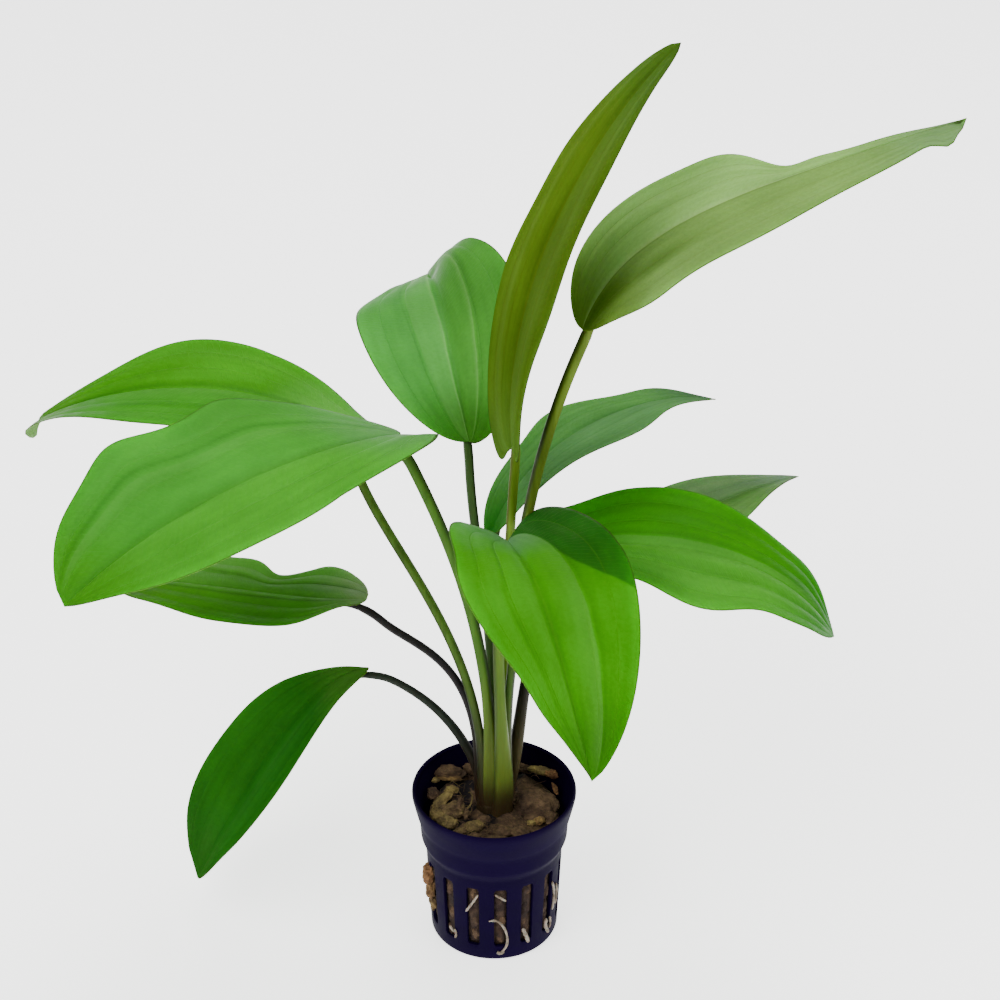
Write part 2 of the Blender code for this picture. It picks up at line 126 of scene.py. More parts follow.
LEAVES["high_right"] = dict(
    foot=(4.3, 1.5), guides=((2.7, 6.1, 112.2), (7.9, 4.8, 178.6)),
    rib=((27.1, -0.8, 233.1), (36.5, -0.6, 269), (71.8, 0.9, 278.5), (137.9, 4.8, 300.2)),
    halves=(32.4, 30.3), widest=(0.24, 0.35), taper=(1.49, 0.89), lobes=(6.2, -5.3),
    left=(6.1, -8.7), right=(-3.1, -0.1),
    edge=((0, 0.48, 0.08, 0.15), (0, 0.61, 0.06, -0.51), (0, 0.74, 0.13, -0.53), (1, 0.22, 0.12, 0.14),
        (1, 0.95, 0.03, 1.51)),
    stalk=(1.75, 1.75, 1.6), shine=0.0, quilt=0.4, wave=(0.35, 2.6, 0.1),
    folds=((0.99, 0.6, 0.03, 0.8, -2.0),),
    spots=((0.10, 0.30, 0.12, 0.30, 0.8), (0.27, 0.42, 0.10, 0.13, 0.6)), mark=(44, 70, 8),
    shade_bands=((-1, -0.05), (-0.5, 0), (-0.1, 0.1), (0, 0.55), (0.04, -0.45), (0.1, -0.1), (0.5, 0),
        (0.6, 0.15), (1, 0.1)),
    green=((108, 144, 75), (93, 123, 60), (74, 99, 15), (82, 111, 69)), vein=((92, 104, 50), 0.5),
    stem=((88, 102, 26), (84, 104, 34), (36, 44, 18), -1))
LEAVES["back"] = dict(
    foot=(-2.1, 0.8), guides=((4.1, 9, 109.9), (-8.4, 11.1, 149.2)),
    rib=((-7.6, 15.5, 184.1), (-13, 29.2, 205.7), (-17.7, 58.3, 223.3), (-22.8, 101.2, 199.6)),
    halves=(28.5, 26.2), widest=(0.54, 0.45), taper=(0.51, 0.92), lobes=(0.2, 3.1),
    left=(-4.9, -18.8), right=(15.8, 49.1), edge=((0, 0.88, 0.1, -0.18), (1, 0.88, 0.1, 0.17)),
    stalk=(1.55, 1.5, 1.4), quilt=0.34, wave=(0.5, 2.0, 0.3),
    folds=((0.75, 0.45, 0.16, 0.3, 3.0), (0.85, 0.1, 0.05, 0.15, -1.5)),
    shade_bands=((-1, 0.06), (-0.55, 0), (-0.46, -0.06), (-0.43, -0.3), (-0.38, 0.18), (-0.1, 0.18),
        (-0.06, 0.36), (-0.03, -0.33), (0.05, 0), (0.3, 0.06), (0.36, 0.3), (0.4, -0.3), (0.5, -0.03),
        (1, 0)),
    green=((57, 121, 45), (53, 108, 34), (35, 84, 7), (49, 104, 31)), vein=((56, 108, 40), 0.25),
    stem=((38, 56, 20), (42, 64, 26), (14, 22, 12), 1))
LEAVES["high_left"] = dict(
    foot=(-4.3, -2.3), guides=((0.7, 1.2, 123.2), (-46, 14.4, 152.8)),
    rib=((-46, 22.7, 185.1), (-69.5, 25.8, 199), (-114.6, 38, 200), (-154.2, 44.2, 172.4)),
    halves=(27.7, 31.5), widest=(0.41, 0.43), taper=(0.78, 1.57), lobes=(13, 14),
    left=(-7.9, 16), right=(-11.1, 15.1),
    edge=((1, 0.75, 0.14, -0.2), (0, 0.97, 0.03, 0.8), (1, 0.97, 0.03, 0.74)),
    stalk=(1.6, 1.5, 1.6), quilt=0.4, wave=(0.5, 2.4, 0.4),
    folds=((1.0, 0.0, 0.035, 3.0, -5.0), (0.0, 1.0, 0.08, 0.4, 4.0)),
    shade_bands=((-1, 0.07), (-0.6, 0.1), (-0.48, -0.27), (-0.42, 0.07), (-0.05, 0.17), (0.03, -0.41),
        (0.15, -0.14), (0.5, 0.03), (0.8, 0.1), (1, 0)),
    green=((41, 107, 14), (47, 113, 9), (85, 149, 58), (52, 96, 18)), vein=((66, 122, 34), 0.35),
    stem=((44, 46, 26), (58, 84, 26), (24, 30, 16), -1))
LEAVES["front_left"] = dict(
    foot=(-0.5, -3.8), guides=((0, -2.5, 117.5), (-10.5, -4, 153.5)),
    rib=((-29.2, 0.3, 195.7), (-53.7, -14.2, 202.6), (-98.5, -42.5, 197), (-126.6, -61.7, 173.4)),
    halves=(32.9, 35.6), widest=(0.48, 0.52), taper=(0.9, 0.66), lobes=(15, 4.5),
    left=(8.2, -2.2), right=(-7.2, 20.1),
    edge=((0, 0.9, 0.07, -0.05), (1, 0.66, 0.1, 0.17), (1, 0.9, 0.08, 0.04), (1, 0.3, 0.12, 0.34),
        (1, 0.15, 0.08, 0.23)),
    stalk=(1.8, 1.75, 2.0), quilt=0.22, wave=(0.4, 2.2, 0.0), folds=((0.0, -1.0, 0.12, 0.5, 3.0),),
    shade_bands=((-1, 0), (-0.6, -0.09), (-0.3, 0), (-0.05, 0.09), (0, -0.45), (0.1, -0.18), (0.3, 0.02),
        (0.5, 0.16), (0.58, -0.36), (0.68, 0.07), (1, 0)),
    green=((51, 117, 23), (50, 118, 29), (76, 120, 67), (42, 99, 10)), vein=((66, 124, 38), 0.4),
    stem=((72, 84, 30), (52, 84, 22), (30, 44, 18), 1))
LEAVES["front"] = dict(
    foot=(3.2, -4.2), guides=((3.4, -8.7, 91.1), (-1.3, -7, 130)),
    rib=((4.3, -13.3, 165), (11.8, -38.6, 171), (14.3, -72.9, 192.6), (28.8, -95.6, 134.8)),
    halves=(28.5, 28), widest=(0.39, 0.35), taper=(0.67, 1.32), lobes=(18.2, 10.7),
    left=(17.3, -2.4), right=(29.6, 4.3),
    edge=((1, 0.03, 0.05, -0.34), (1, 0.7, 0.12, -0.16), (1, 0.88, 0.08, -0.12), (1, 0.3, 0.12, -0.11)),
    stalk=(1.9, 1.8, 2.2), shine=0.008, quilt=0.35, wave=(0.5, 2.0, 0.6), cast_shadow=(0.38, 0.20, 7.4),
    mark=(24, 72, 14),
    shade_bands=((-1, 0), (-0.52, -0.13), (-0.46, -0.3), (-0.42, 0.2), (-0.1, 0.07), (-0.03, -0.3), (0.02, -0.26),
        (0.08, 0.12), (0.36, 0.05), (0.46, -0.34), (0.52, 0.1), (0.74, 0), (0.8, -0.21), (0.86, 0.05),
        (1, 0)),
    green=((47, 112, 8), (50, 116, 13), (68, 100, 68), (30, 75, 5)), vein=((60, 116, 16), 0.5),
    stem=((72, 86, 28), (68, 92, 28), (44, 56, 20), -1))
LEAVES["mid_left"] = dict(
    foot=(-5.6, 1.0), guides=((-1.7, 4.6, 118.9), (-34.5, 9.7, 106.6)),
    rib=((-41.4, 8.1, 128.8), (-63.6, 11.2, 125.7), (-98, 24.2, 126.4), (-125.9, 36.3, 117.7)),
    halves=(26.4, 28.1), widest=(0.39, 0.29), taper=(0.6, 0.71), lobes=(-1.5, -4.6),
    left=(9.3, 8.5), right=(-13.3, -8.8),
    edge=((0, 0.05, 0.09, -0.65), (0, 0.7, 0.2, -0.07), (1, 0.4, 0.1, -0.43), (1, 0.62, 0.08, 0.04),
        (0, 0.3, 0.1, 0.03), (1, 0.8, 0.1, 0.69)),
    stalk=(1.4, 1.3, 1.3), shine=0.01, quilt=0.5, wave=(0.4, 2.4, 0.5),
    shade_bands=((-1, 0), (-0.5, -0.04), (-0.26, -0.08), (-0.2, -0.44), (-0.1, 0.18), (0.2, 0.06), (0.38, -0.08),
        (0.44, -0.4), (0.52, 0.21), (1, 0.09)),
    green=((53, 110, 14), (59, 110, 32), (104, 124, 82), (51, 77, 25)), vein=((34, 66, 14), 0.5),
    stem=((36, 30, 26), (28, 26, 26), (14, 12, 14), 1))
LEAVES["low_left"] = dict(
    foot=(-3.8, 4.0), guides=((-9.6, 10.2, 80.3), (-28.5, 8.9, 94.4)),
    rib=((-41.5, 6, 103), (-60.8, 7.3, 100.1), (-82.9, 5.4, 60.7), (-102.5, 1.5, 17.2)),
    halves=(32.1, 30.2), widest=(0.52, 0.73), taper=(0.81, 0.4), lobes=(1.7, -1.5),
    left=(-0.5, 3.7), right=(13.6, 16.8), edge=((0, 0.85, 0.2, -0.26),),
    stalk=(1.45, 1.2, 1.3), shine=0.0, quilt=0.45, wave=(0.4, 2.0, 0.1),
    shade_bands=((-1, 0), (-0.35, 0.09), (-0.15, -0.21), (0, 0.05), (0.25, 0.05), (0.45, -0.17), (0.6, 0.05),
        (1, 0.05)),
    green=((22, 72, 13), (25, 76, 13), (64, 106, 38), (25, 64, 16)), vein=((26, 66, 10), 0.5),
    stem=((38, 34, 28), (32, 38, 30), (16, 16, 16), 1))
LEAVES["right"] = dict(
    foot=(5.8, -1.5), guides=((2.1, -4.1, 89.5), (5.7, -6.5, 130)),
    rib=((15.4, -8.5, 160.2), (38.4, -9.4, 162.2), (87.2, -16, 171.4), (107.3, -22, 135)),
    halves=(30.9, 32.7), widest=(0.33, 0.57), taper=(0.74, 0.85), lobes=(4.7, 4),
    left=(9, -5.4), right=(-4.1, 5),
    edge=((0, 0.1, 0.12, -0.3), (1, 0.3, 0.12, -0.15), (1, 0.7, 0.12, -0.21), (0, 0.88, 0.1, 0.31),
        (1, 0.88, 0.1, -0.13)),
    stalk=(1.5, 1.4, 1.6), quilt=0.5, wave=(0.5, 2.2, 0.2),
    shade_bands=((-1, -0.09), (-0.3, -0.04), (-0.17, -0.3), (-0.12, 0.21), (0.15, 0.12), (0.25, -0.09),
        (0.33, -0.3), (0.42, 0.12), (0.8, 0.06), (1, 0.06)),
    green=((40, 106, 4), (57, 122, 26), (32, 122, 3), (22, 95, 3)), vein=((46, 104, 12), 0.4),
    stem=((70, 74, 34), (44, 66, 22), (22, 26, 14), 1))
LEAVES["far_right"] = dict(
    foot=(4.4, 4.9), guides=((12.2, 7.3, 88.8), (6.3, 16.4, 115.6)),
    rib=((32.1, 22, 127.9), (50.3, 37.7, 136.5), (82.3, 62.5, 137.7), (106, 80.3, 131.5)),
    halves=(19.2, 17.5), widest=(0.38, 0.38), taper=(0.96, 1.24), lobes=(4, 4),
    left=(-1.2, 0.6), right=(-0.4, -0.2), edge=((1, 0.85, 0.18, -0.23),),
    stalk=(1.8, 1.7, 1.7), quilt=0.3, wave=(0.4, 2.0, 0.0),
    shade_bands=((-1, 0.1), (-0.5, 0.2), (-0.3, -0.15), (-0.1, 0.1), (0.15, -0.35), (0.3, 0.2), (1, 0.3)),
    green=((69, 95, 58), (60, 96, 38), (58, 88, 30), (92, 115, 90)), vein=((60, 84, 46), 0.5),
    stem=((64, 58, 34), (28, 27, 22), (18, 14, 14), -1))
LEAVES["back_right"] = dict(
    foot=(-0.2, 3.6), guides=((-1, 12, 90), (-3, 13, 125)),
    rib=((-0.8, 13.7, 150.5), (7.4, 24.2, 174.3), (39.7, 45.2, 187.2), (74.2, 65, 171.1)),
    halves=(23.3, 25.9), widest=(0.41, 0.46), taper=(0.98, 0.86), lobes=(5.5, 1.3),
    left=(-25, -4.2), right=(26.5, 21.5),
    edge=((0, 0.3, 0.12, -0.22), (0, 0.7, 0.12, -0.29), (1, 0.5, 0.12, 0.3)),
    stalk=(1.4, 1.2, 1.3), shine=0.0, quilt=0.4, wave=(0.5, 2.4, 0.3),
    shade_bands=((-1, 0), (0, -0.15), (0.1, 0.1), (1, 0.1)),
    green=((69, 115, 57), (69, 110, 63), (14, 88, 3), (56, 76, 60)), vein=((44, 80, 24), 0.5),
    stem=((44, 54, 22), (50, 66, 26), (22, 26, 14), 1))
LOBE_REACH = 0.3
BLADE_ROWS = 96
BLADE_COLUMNS = 48
BLADE_THICKNESS = 0.45
VEINS = (0.0, 0.40, 0.72)  # places of the long veins across each half of a blade
VEIN_WIDTHS = (0.05, 0.02, 0.016)
USUAL_SHINE = 0.025


def unit(vectors):
    return vectors / np.linalg.norm(vectors, axis=-1, keepdims=True)


def smooth(value, low, high):
    share = np.clip((value - low) / (high - low), 0, 1)
    return share * share * (3 - 2 * share)


def linear(colour):
    share = np.array(colour, float) / 255
    return tuple(float(x) for x in np.where(share > 0.04045, ((share + 0.055) / 1.055)**2.4, share / 12.92))


# Meshes

def grid_faces(ids, flip=False):
    """Quads between the rows of a table of vertex numbers. Doubled corners are left out."""
    faces = []
    for near, far in zip(ids.tolist(), ids[1:].tolist()):
        for k in range(len(near) - 1):
            face = list(dict.fromkeys((near[k], near[k + 1], far[k + 1], far[k])))
            if len(face) > 2:
                faces.append(face[::-1] if flip else face)
    return faces


def ring_faces(ids, flip=False):
    """Quads between rows of vertices that close on themselves."""
    return grid_faces(np.concatenate([ids, ids[:, :1]], axis=1), flip)


def tube_faces(rings, sides):
    """Faces of a tube with both ends closed."""
    ids = np.arange(rings * sides).reshape(rings, sides)
    return ring_faces(ids) + [ids[0, ::-1].tolist(), ids[-1].tolist()]


def lathed(radius, turn, height):
    """Places at radii, angles and heights, each a number or an array."""
    return np.stack(np.broadcast_arrays(radius * np.cos(turn), radius * np.sin(turn), height), axis=-1)


def add(name, data):
    obj = bpy.data.objects.new(name, data)
    bpy.context.scene.collection.objects.link(obj)
    return obj


def mesh_object(name, points, faces, materials, values=None, face_material=None):
    """A smooth mesh. Points that no face uses are left out."""
    used = np.zeros(len(points), bool)
    used[[k for face in faces for k in face]] = True
    numbers = np.cumsum(used) - 1
    kept_faces = [[int(numbers[k]) for k in face] for face in faces]
    mesh = bpy.data.meshes.new(name)
    mesh.from_pydata((np.asarray(points)[used] * MM).tolist(), [], kept_faces)
    for key, data in (values or {}).items():
        attribute = mesh.attributes.new(key, "FLOAT", "POINT")
        attribute.data.foreach_set("value", np.asarray(data, np.float32)[used])
    if face_material is not None:
        mesh.polygons.foreach_set("material_index", face_material)
    for material in materials:
        mesh.materials.append(material)
    mesh.shade_smooth()
    return add(name, mesh)


def settle(obj, slot, *nodes):
    """Ties a piece to the part's body and hides the nodes that it stands in for. Its slot is not used."""
    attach(obj, "root")
    if nodes:
        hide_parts(*nodes)


class Path:
    """A Bezier curve that is read by distance along it, and runs straight on past both ends."""

    def __init__(self, points):
        self.points = np.array(points, float)
        self.share = np.linspace(0, 1, 401)
        steps = np.linalg.norm(np.diff(self.place(self.share), axis=0), axis=1)
        self.lengths = np.concatenate([[0], np.cumsum(steps)])
        self.length = self.lengths[-1]

    def place(self, t):
        a, b, c, d = self.points
        t = t[:, None]
        return a * (1 - t)**3 + 3 * b * t * (1 - t)**2 + 3 * c * t * t * (1 - t) + d * t**3

    def at(self, distance):
        a, b, c, d = self.points
        inside = np.clip(distance, 0, self.length)
        share = np.interp(inside, self.lengths, self.share)
        t = share[:, None]
        direction = unit((b - a) * (1 - t)**2 + 2 * (c - b) * t * (1 - t) + (d - c) * t * t)
        return self.place(share) + direction * (distance - inside)[:, None], direction


def sides_of(leaf, direction):
    """The blade's right-hand side and its upper face's normal."""
    if "heading" in leaf:
        heading = math.radians(leaf["heading"])
    else:
        base, tip = leaf["rib"][0], leaf["rib"][3]
        heading = math.atan2(tip[1] - base[1], tip[0] - base[0])
    right = np.array([math.sin(heading), -math.cos(heading), 0.0])
    right = unit(right - direction * (direction @ right)[:, None])
    return right, np.cross(right, direction)


def blade_sheet(leaf, u, v):
    """Places on the middle of the blade and their distance from its margin.

    u runs from 0 at the base to 1 at the tip, v from -1 at the left margin to 1 at the right one.
    """
    path = Path(leaf["rib"])
    near = v < 0
    widest = np.where(near, *leaf["widest"])
    taper = np.where(near, *leaf["taper"])
    width = (u / widest)**(taper * widest / (1 - widest)) * ((1 - u) / (1 - widest))**taper
    for side, centre, spread, share in leaf["edge"]:
        swelling = 1 + share * np.exp(-((u - centre) / spread)**2)
        width = np.where(near == (side == 0), width * swelling, width)
    half = np.where(near, *leaf["halves"]) * width
    fade = np.minimum(1, np.sqrt(u / LOBE_REACH))
    along = u * path.length - np.where(near, *leaf["lobes"]) * np.abs(v)**1.6 * 4 * fade * (1 - fade)
    place, direction = path.at(along)
    right, up = sides_of(leaf, direction)
    share = np.clip(along / path.length, 0, 1)
    at_base, at_tip = (np.where(near, *lift) for lift in zip(leaf["left"], leaf["right"]))
    angle = np.radians(at_base + (at_tip - at_base) * share)
    reach = v * half
    place = place + right * (reach * np.cos(angle))[:, None] + up * (np.abs(reach) * np.sin(angle))[:, None]
    return place + up * blade_relief(leaf, u, v, half)[:, None], half * (1 - np.abs(v))


def blade_relief(leaf, u, v, half):
    """Heights over the blade: grooved veins with raised tissue between, a wavy margin and soft folds."""
    size = np.abs(v)
    cell = np.interp(size, VEINS + (1.0,), (0, 1, 2, 2.7))
    relief = leaf["quilt"] * np.abs(np.sin(np.pi * cell))**0.8 * np.minimum(1, half / 16)
    relief = relief - 0.4 * np.exp(-(size / 0.05)**2)
    ends = smooth(u, 0, 0.12) * smooth(1 - u, 0, 0.1)
    wave, count, phase = leaf["wave"]
    turn = phase + np.where(v < 0, 0.0, 0.37)
    relief = relief * ends + wave * size**3 * ends * np.sin(2 * np.pi * (count * u + turn))
    for *fold, height in leaf.get("folds", ()):
        relief = relief + height * swell(u, v, *fold) * smooth(u, 0, 0.06)
    return relief


def swell(u, v, middle_u, middle_v, reach_u, reach_v):
    """A soft bump on a blade: 1 at its middle, falling to 0 around it."""
    return np.exp(-((u - middle_u) / reach_u)**2 - ((v - middle_v) / reach_v)**2)


def mark_share(leaf, u, v):
    """How strongly the leaf's darker spots show."""
    share = np.zeros_like(u)
    for *spot, strength in leaf.get("spots", ()):
        share = np.maximum(share, strength * swell(u, v, *spot))
    return share


def build_blade(name, leaf):
    rows, columns = BLADE_ROWS + 1, BLADE_COLUMNS + 1
    step = np.linspace(0, 1, rows)
    grid = np.meshgrid(0.9 * step**1.6 + 0.1 * step, np.linspace(-1, 1, columns), indexing="ij")
    u, v = (numbers.ravel() for numbers in grid)
    middle, rim = blade_sheet(leaf, u, v)
    sheet = middle.reshape(rows, columns, 3)
    normal = np.cross(np.gradient(sheet, axis=1), np.gradient(sheet, axis=0))
    normal[0], normal[-1] = normal[2], normal[-3]
    normal = unit(normal).reshape(-1, 3)
    thick = BLADE_THICKNESS * (1 - 0.6 * np.abs(v)**6)[:, None] / 2
    ids = np.arange(rows * columns).reshape(rows, columns)
    ids[0], ids[-1] = ids[0, 0], ids[-1, 0]
    under = ids + rows * columns
    points = np.concatenate([middle + normal * thick, middle - normal * thick])
    faces = grid_faces(ids) + grid_faces(under, flip=True)
    rims = []
    for column in (0, -1):
        strip = np.stack([ids[:, column], under[:, column]], axis=1)
        rims += grid_faces(strip, flip=column == 0)
    half = len(faces) // 2
    material = [0] * half + [1] * half + [0] * len(rims)
    shares = {"along": u, "across": v, "rim": rim, "mark": mark_share(leaf, u, v)}
    values = {key: np.tile(numbers, 2) for key, numbers in shares.items()}
    looks = [leaf_material(name + "_upper", leaf, 0.42, True), leaf_material(name + "_under", leaf, 0.55)]
    blade = mesh_object("blade_" + name, points, faces + rims, looks, values, material)
    settle(blade, leaf_slot("leaf_" + name), "leaf_" + name)


def leaf_slot(node):
    return next(s["material_slot"] for s in frame["record"]["subparts"] if s["node"] == node)


def tube(points, wide, deep, sides, side_hint, ridges=(0, 0.0)):
    """Rings around a line: radii wide and deep, the first wide axis by side_hint, ridges (count, height)."""
    points = np.asarray(points, float)
    direction = unit(np.gradient(points, axis=0))
    axes = []
    axis = np.array(side_hint, float)
    for way in direction:
        axis = unit(axis - way * (way @ axis))
        axes.append(axis)
    axes = np.array(axes)
    other = np.cross(direction, axes)
    angle = np.linspace(0, 2 * np.pi, sides, endpoint=False)
    rib = 1 + ridges[1] * np.cos(ridges[0] * angle)
    ring = (axes[:, None] * (np.cos(angle) * rib)[None, :, None] * np.reshape(wide, (-1, 1, 1))
            + other[:, None] * (np.sin(angle) * rib)[None, :, None] * np.reshape(deep, (-1, 1, 1)))
    return (points[:, None] + ring).reshape(-1, 3), tube_faces(len(points), sides)


def rounded(line, passes):
    """A line of points with its corners smoothed. Its ends stay."""
    for _ in range(passes):
        line[1:-1] = (line[:-2] + 2 * line[1:-1] + line[2:]) / 4
    return line


def join(parts):
    """Puts several (points, faces, values) together, where a value is an array or one number."""
    points, faces, values, start = [], [], {}, 0
    for part_points, part_faces, part_values in parts:
        points.append(part_points)
        faces += [[k + start for k in face] for face in part_faces]
        for key, numbers in part_values.items():
            values.setdefault(key, []).append(np.broadcast_to(numbers, (len(part_points),)))
        start += len(part_points)
    return np.concatenate(points), faces, {key: np.concatenate(numbers) for key, numbers in values.items()}


def stalk_line(leaf):
    """Points up the stalk and on under the midrib, with their radius, sheath and share of the stalk."""
    rib = Path(leaf["rib"])
    start, way = rib.at(np.array([0.0]))
    right, up = sides_of(leaf, way)
    foot_radius, head_radius, sheath_width = leaf["stalk"]
    head = start[0] - up[0] * head_radius
    foot = np.array((*leaf["foot"], CROWN_TOP))
    stalk = Path((foot, *leaf["guides"], head))
    low = np.array([[leaf["foot"][0] * 0.7, leaf["foot"][1] * 0.7, STALK_START]])
    count = int(stalk.length / 1.5)
    up_stalk = stalk.at(np.linspace(0, stalk.length - 4, count))[0]
    under = rib.at(np.linspace(4, rib.length * 0.8, int(rib.length * 0.5)))
    rib_radius = head_radius * np.linspace(0.85, 0.15, len(under[0]))
    along_rib = under[0] - sides_of(leaf, under[1])[1] * (rib_radius + 0.35)[:, None]
    line = rounded(np.concatenate([low, up_stalk, along_rib]), 6)
    radius = np.concatenate([[foot_radius * 1.35], np.linspace(foot_radius, head_radius, count), rib_radius])
    sheath = 1 + (sheath_width - 1) * (1 - smooth(line[:, 2], CROWN_TOP - 4, CROWN_TOP + 50))
    share = np.concatenate([[0], np.linspace(0, 1, count), np.full(len(along_rib), 1.0)])
    return line, radius, sheath, share


def build_stalk(name, leaf):
    line, radius, sheath, share = stalk_line(leaf)
    wide, deep = radius * sheath, radius * (0.9 + 0.1 / sheath)
    way_round = (-leaf["foot"][1], leaf["foot"][0], 0.0)
    places, faces = tube(line, wide, deep, STALK_SIDES, way_round, (5, 0.05))
    side = (places - np.repeat(line, STALK_SIDES, axis=0))[:, 0] / np.repeat(wide, STALK_SIDES)
    values = {"along": np.repeat(share, STALK_SIDES), "side": side}
    stalk = mesh_object("petiole_" + name, places, faces, [stalk_material(name, leaf)], values)
    settle(stalk, leaf_slot("stalk_" + name), "stalk_" + name)


def build_crown():
    """The stump inside the ring of sheathed stalk feet."""
    rings, sides = 14, 60
    height = np.linspace(STUMP_BOTTOM, STUMP_TOP, rings)
    share = (height - height[0]) / (height[-1] - height[0])
    radius = STUMP_RADIUS + 1.8 * share - 1.2 * share**3
    angle = np.linspace(0, 2 * np.pi, sides, endpoint=False)
    flute = 1 + 0.07 * np.cos(9 * angle) + 0.03 * np.cos(23 * angle + 1)
    places = lathed(radius[:, None] * flute, angle, height[:, None]).reshape(-1, 3)
    crown = mesh_object("crown_stump", places, tube_faces(rings, sides), [crown_material()])
    settle(crown, "crown_tissue", "crown")


def wall_radius(height):
    share = (height - FOOT_CORNER) / (WAIST_HEIGHT - FOOT_CORNER)
    return FOOT_RADIUS + (WAIST_RADIUS - FOOT_RADIUS) * share


def off_slot(degrees):
    """Degrees from a place on the wall to the middle of the nearest slot."""
    return (degrees - SLOT_TURN + SLOT_PITCH / 2) % SLOT_PITCH - SLOT_PITCH / 2


def pot_profile():
    """The pot's outside as (radius, height), from the middle of its underside up to the rim."""
    tenths = [k / 10 for k in range(1, 11)]
    profile = [(radius, HUB_RISE) for radius in np.linspace(0, HUB_RADIUS, 7)]
    profile += [(radius, 0.0) for radius in (DRAIN_INNER, 9, 11, 13, DRAIN_OUTER, 16.4, 17.2)]
    profile += [(FOOT_RADIUS - FOOT_CORNER * (1 - math.sin(a)), FOOT_CORNER * (1 - math.cos(a)))
                for a in np.linspace(0, math.pi / 2, 7)]
    heights = (4.5, SLOT_BOTTOM, SLOT_BOTTOM + SLOT_END, 8, 10, *range(13, 29, 3), 30.5,
               SLOT_TOP - SLOT_END, SLOT_TOP, 33, 34, 35, WAIST_HEIGHT)
    profile += [(wall_radius(z), z) for z in heights]
    profile += [(WAIST_RADIUS + SHOULDER_OUT * float(smooth(k, 0, 1)), WAIST_HEIGHT + SHOULDER_RISE * k)
                for k in tenths]
    profile += [(BAND_RADIUS + BEAD_OUT * k, SHOULDER_HEIGHT + (FLARE_HEIGHT - SHOULDER_HEIGHT) * k)
                for k in (0.25, 0.5, 0.75, 1)]
    profile += [(BAND_RADIUS + BEAD_OUT + (RIM_RADIUS - BAND_RADIUS - BEAD_OUT) * k**0.85,
                 FLARE_HEIGHT + (FLARE_RISE - 2) * k) for k in tenths]
    profile += [(RIM_RADIUS + 0.02, POT_HEIGHT - 0.9), (RIM_RADIUS - 0.15, POT_HEIGHT - 0.35),
                (RIM_RADIUS - 0.5, POT_HEIGHT)]
    return np.array(profile)


def cut_out(low, high, degrees):
    """Whether a slot or a drain leaves the pot open here, between two points of its profile."""
    middle = (low[1] + high[1]) / 2
    if SLOT_BOTTOM < middle < SLOT_TOP and low[0] > FOOT_RADIUS - 0.1:
        at_end = not SLOT_BOTTOM + SLOT_END <= middle <= SLOT_TOP - SLOT_END
        half = math.degrees(SLOT_WIDTH / 2 / (FOOT_RADIUS + 1)) - at_end
        return abs(off_slot(degrees)) < half
    if DRAIN_INNER - 0.1 < low[0] < DRAIN_OUTER - 0.1 and high[1] < 0.1:
        off_drain = degrees % DRAIN_PITCH - DRAIN_PITCH / 2
        return abs(off_drain) < math.degrees(DRAIN_WIDTH / 2 / ((low[0] + high[0]) / 2))
    return False


def build_pot():
    """A lathed cup with open slots, thickened, and with its edges rounded."""
    profile = pot_profile()
    sides = 360  # one for each degree
    turn = np.radians(np.arange(sides) - 90)
    places = lathed(profile[:, :1], turn, profile[:, 1:])
    ids = np.arange(len(profile) * sides).reshape(len(profile), sides)
    ids[0] = 0
    faces = []
    for row, (low, high) in enumerate(zip(profile, profile[1:])):
        for k in range(sides):
            if not cut_out(low, high, k + 0.5):
                after = (k + 1) % sides
                quad = (ids[row, k], ids[row, after], ids[row + 1, after], ids[row + 1, k])
                faces.append([int(x) for x in dict.fromkeys(quad)])
    pot = mesh_object("net_pot_cup", places.reshape(-1, 3), faces, [pot_material()])
    shell = pot.modifiers.new("wall", "SOLIDIFY")
    shell.thickness = POT_WALL * MM
    shell.offset = -1
    round_edges = pot.modifiers.new("round", "BEVEL")
    round_edges.width = EDGE_ROUND * MM
    round_edges.segments = 2
    round_edges.limit_method = "ANGLE"
    round_edges.angle_limit = math.radians(50)
    settle(pot, "pot_plastic", "net_pot")


# Rock wool and roots

def bumps(points, scale, seed):
    """Smooth noise from -1 to 1 at places in millimetres."""
    shift = Vector((seed * 17.3, seed * 5.1, seed * 9.7))
    return np.array([noise.noise(Vector(p) * scale + shift) for p in points])


def plug_side(heights, turn):
    """Radii of the plug's side: lumpy, and swollen where it fills the slots."""
    radius = np.where(heights < 4, PLUG_FOOT_RADIUS, wall_radius(heights) - POT_WALL - PLUG_CLEAR)
    side = radius[:, None] * np.ones(WOOL_SIDES)
    places = lathed(side, turn, heights[:, None]).reshape(-1, 3)
    lumps = (bumps(places, 0.35, 1) + 0.6 * bumps(places, 1.1, 2)).reshape(side.shape)
    in_slot_height = (heights > SLOT_BOTTOM + 0.6) & (heights < SLOT_TOP - 0.6)
    half = math.degrees(1.9 / FOOT_RADIUS)
    in_slot = smooth(-np.abs(off_slot(np.arange(WOOL_SIDES) * 360 / WOOL_SIDES)), -half, -half + 2)
    return side - 0.25 + 0.2 * lumps + in_slot_height[:, None] * in_slot * (0.75 + 0.8 * lumps)


def plug_top(edge, turn):
    """Places on the plug's lumpy top, in rows from near its edge to its middle."""
    shares = np.array((0.985, 0.95, 0.9, 0.84, 0.78, 0.72, 0.66, 0.6, 0.54, 0.48, 0.42, 0.36, 0.28, 0.2,
                       0.1, 0))
    top = lathed(shares[:, None] * edge, turn, WOOL_TOP - 2.0)
    flat = top.reshape(-1, 3)
    rise = 1.8 * bumps(flat, 0.16, 3) + 1.1 * bumps(flat, 0.4, 4) + 0.5 * bumps(flat, 1.0, 5)
    inward = 1 - shares[:, None]
    top[..., 2] += rise.reshape(top.shape[:2]) * smooth(inward, 0, 0.1) + 1.4 * smooth(inward, 0, 0.25)
    return top


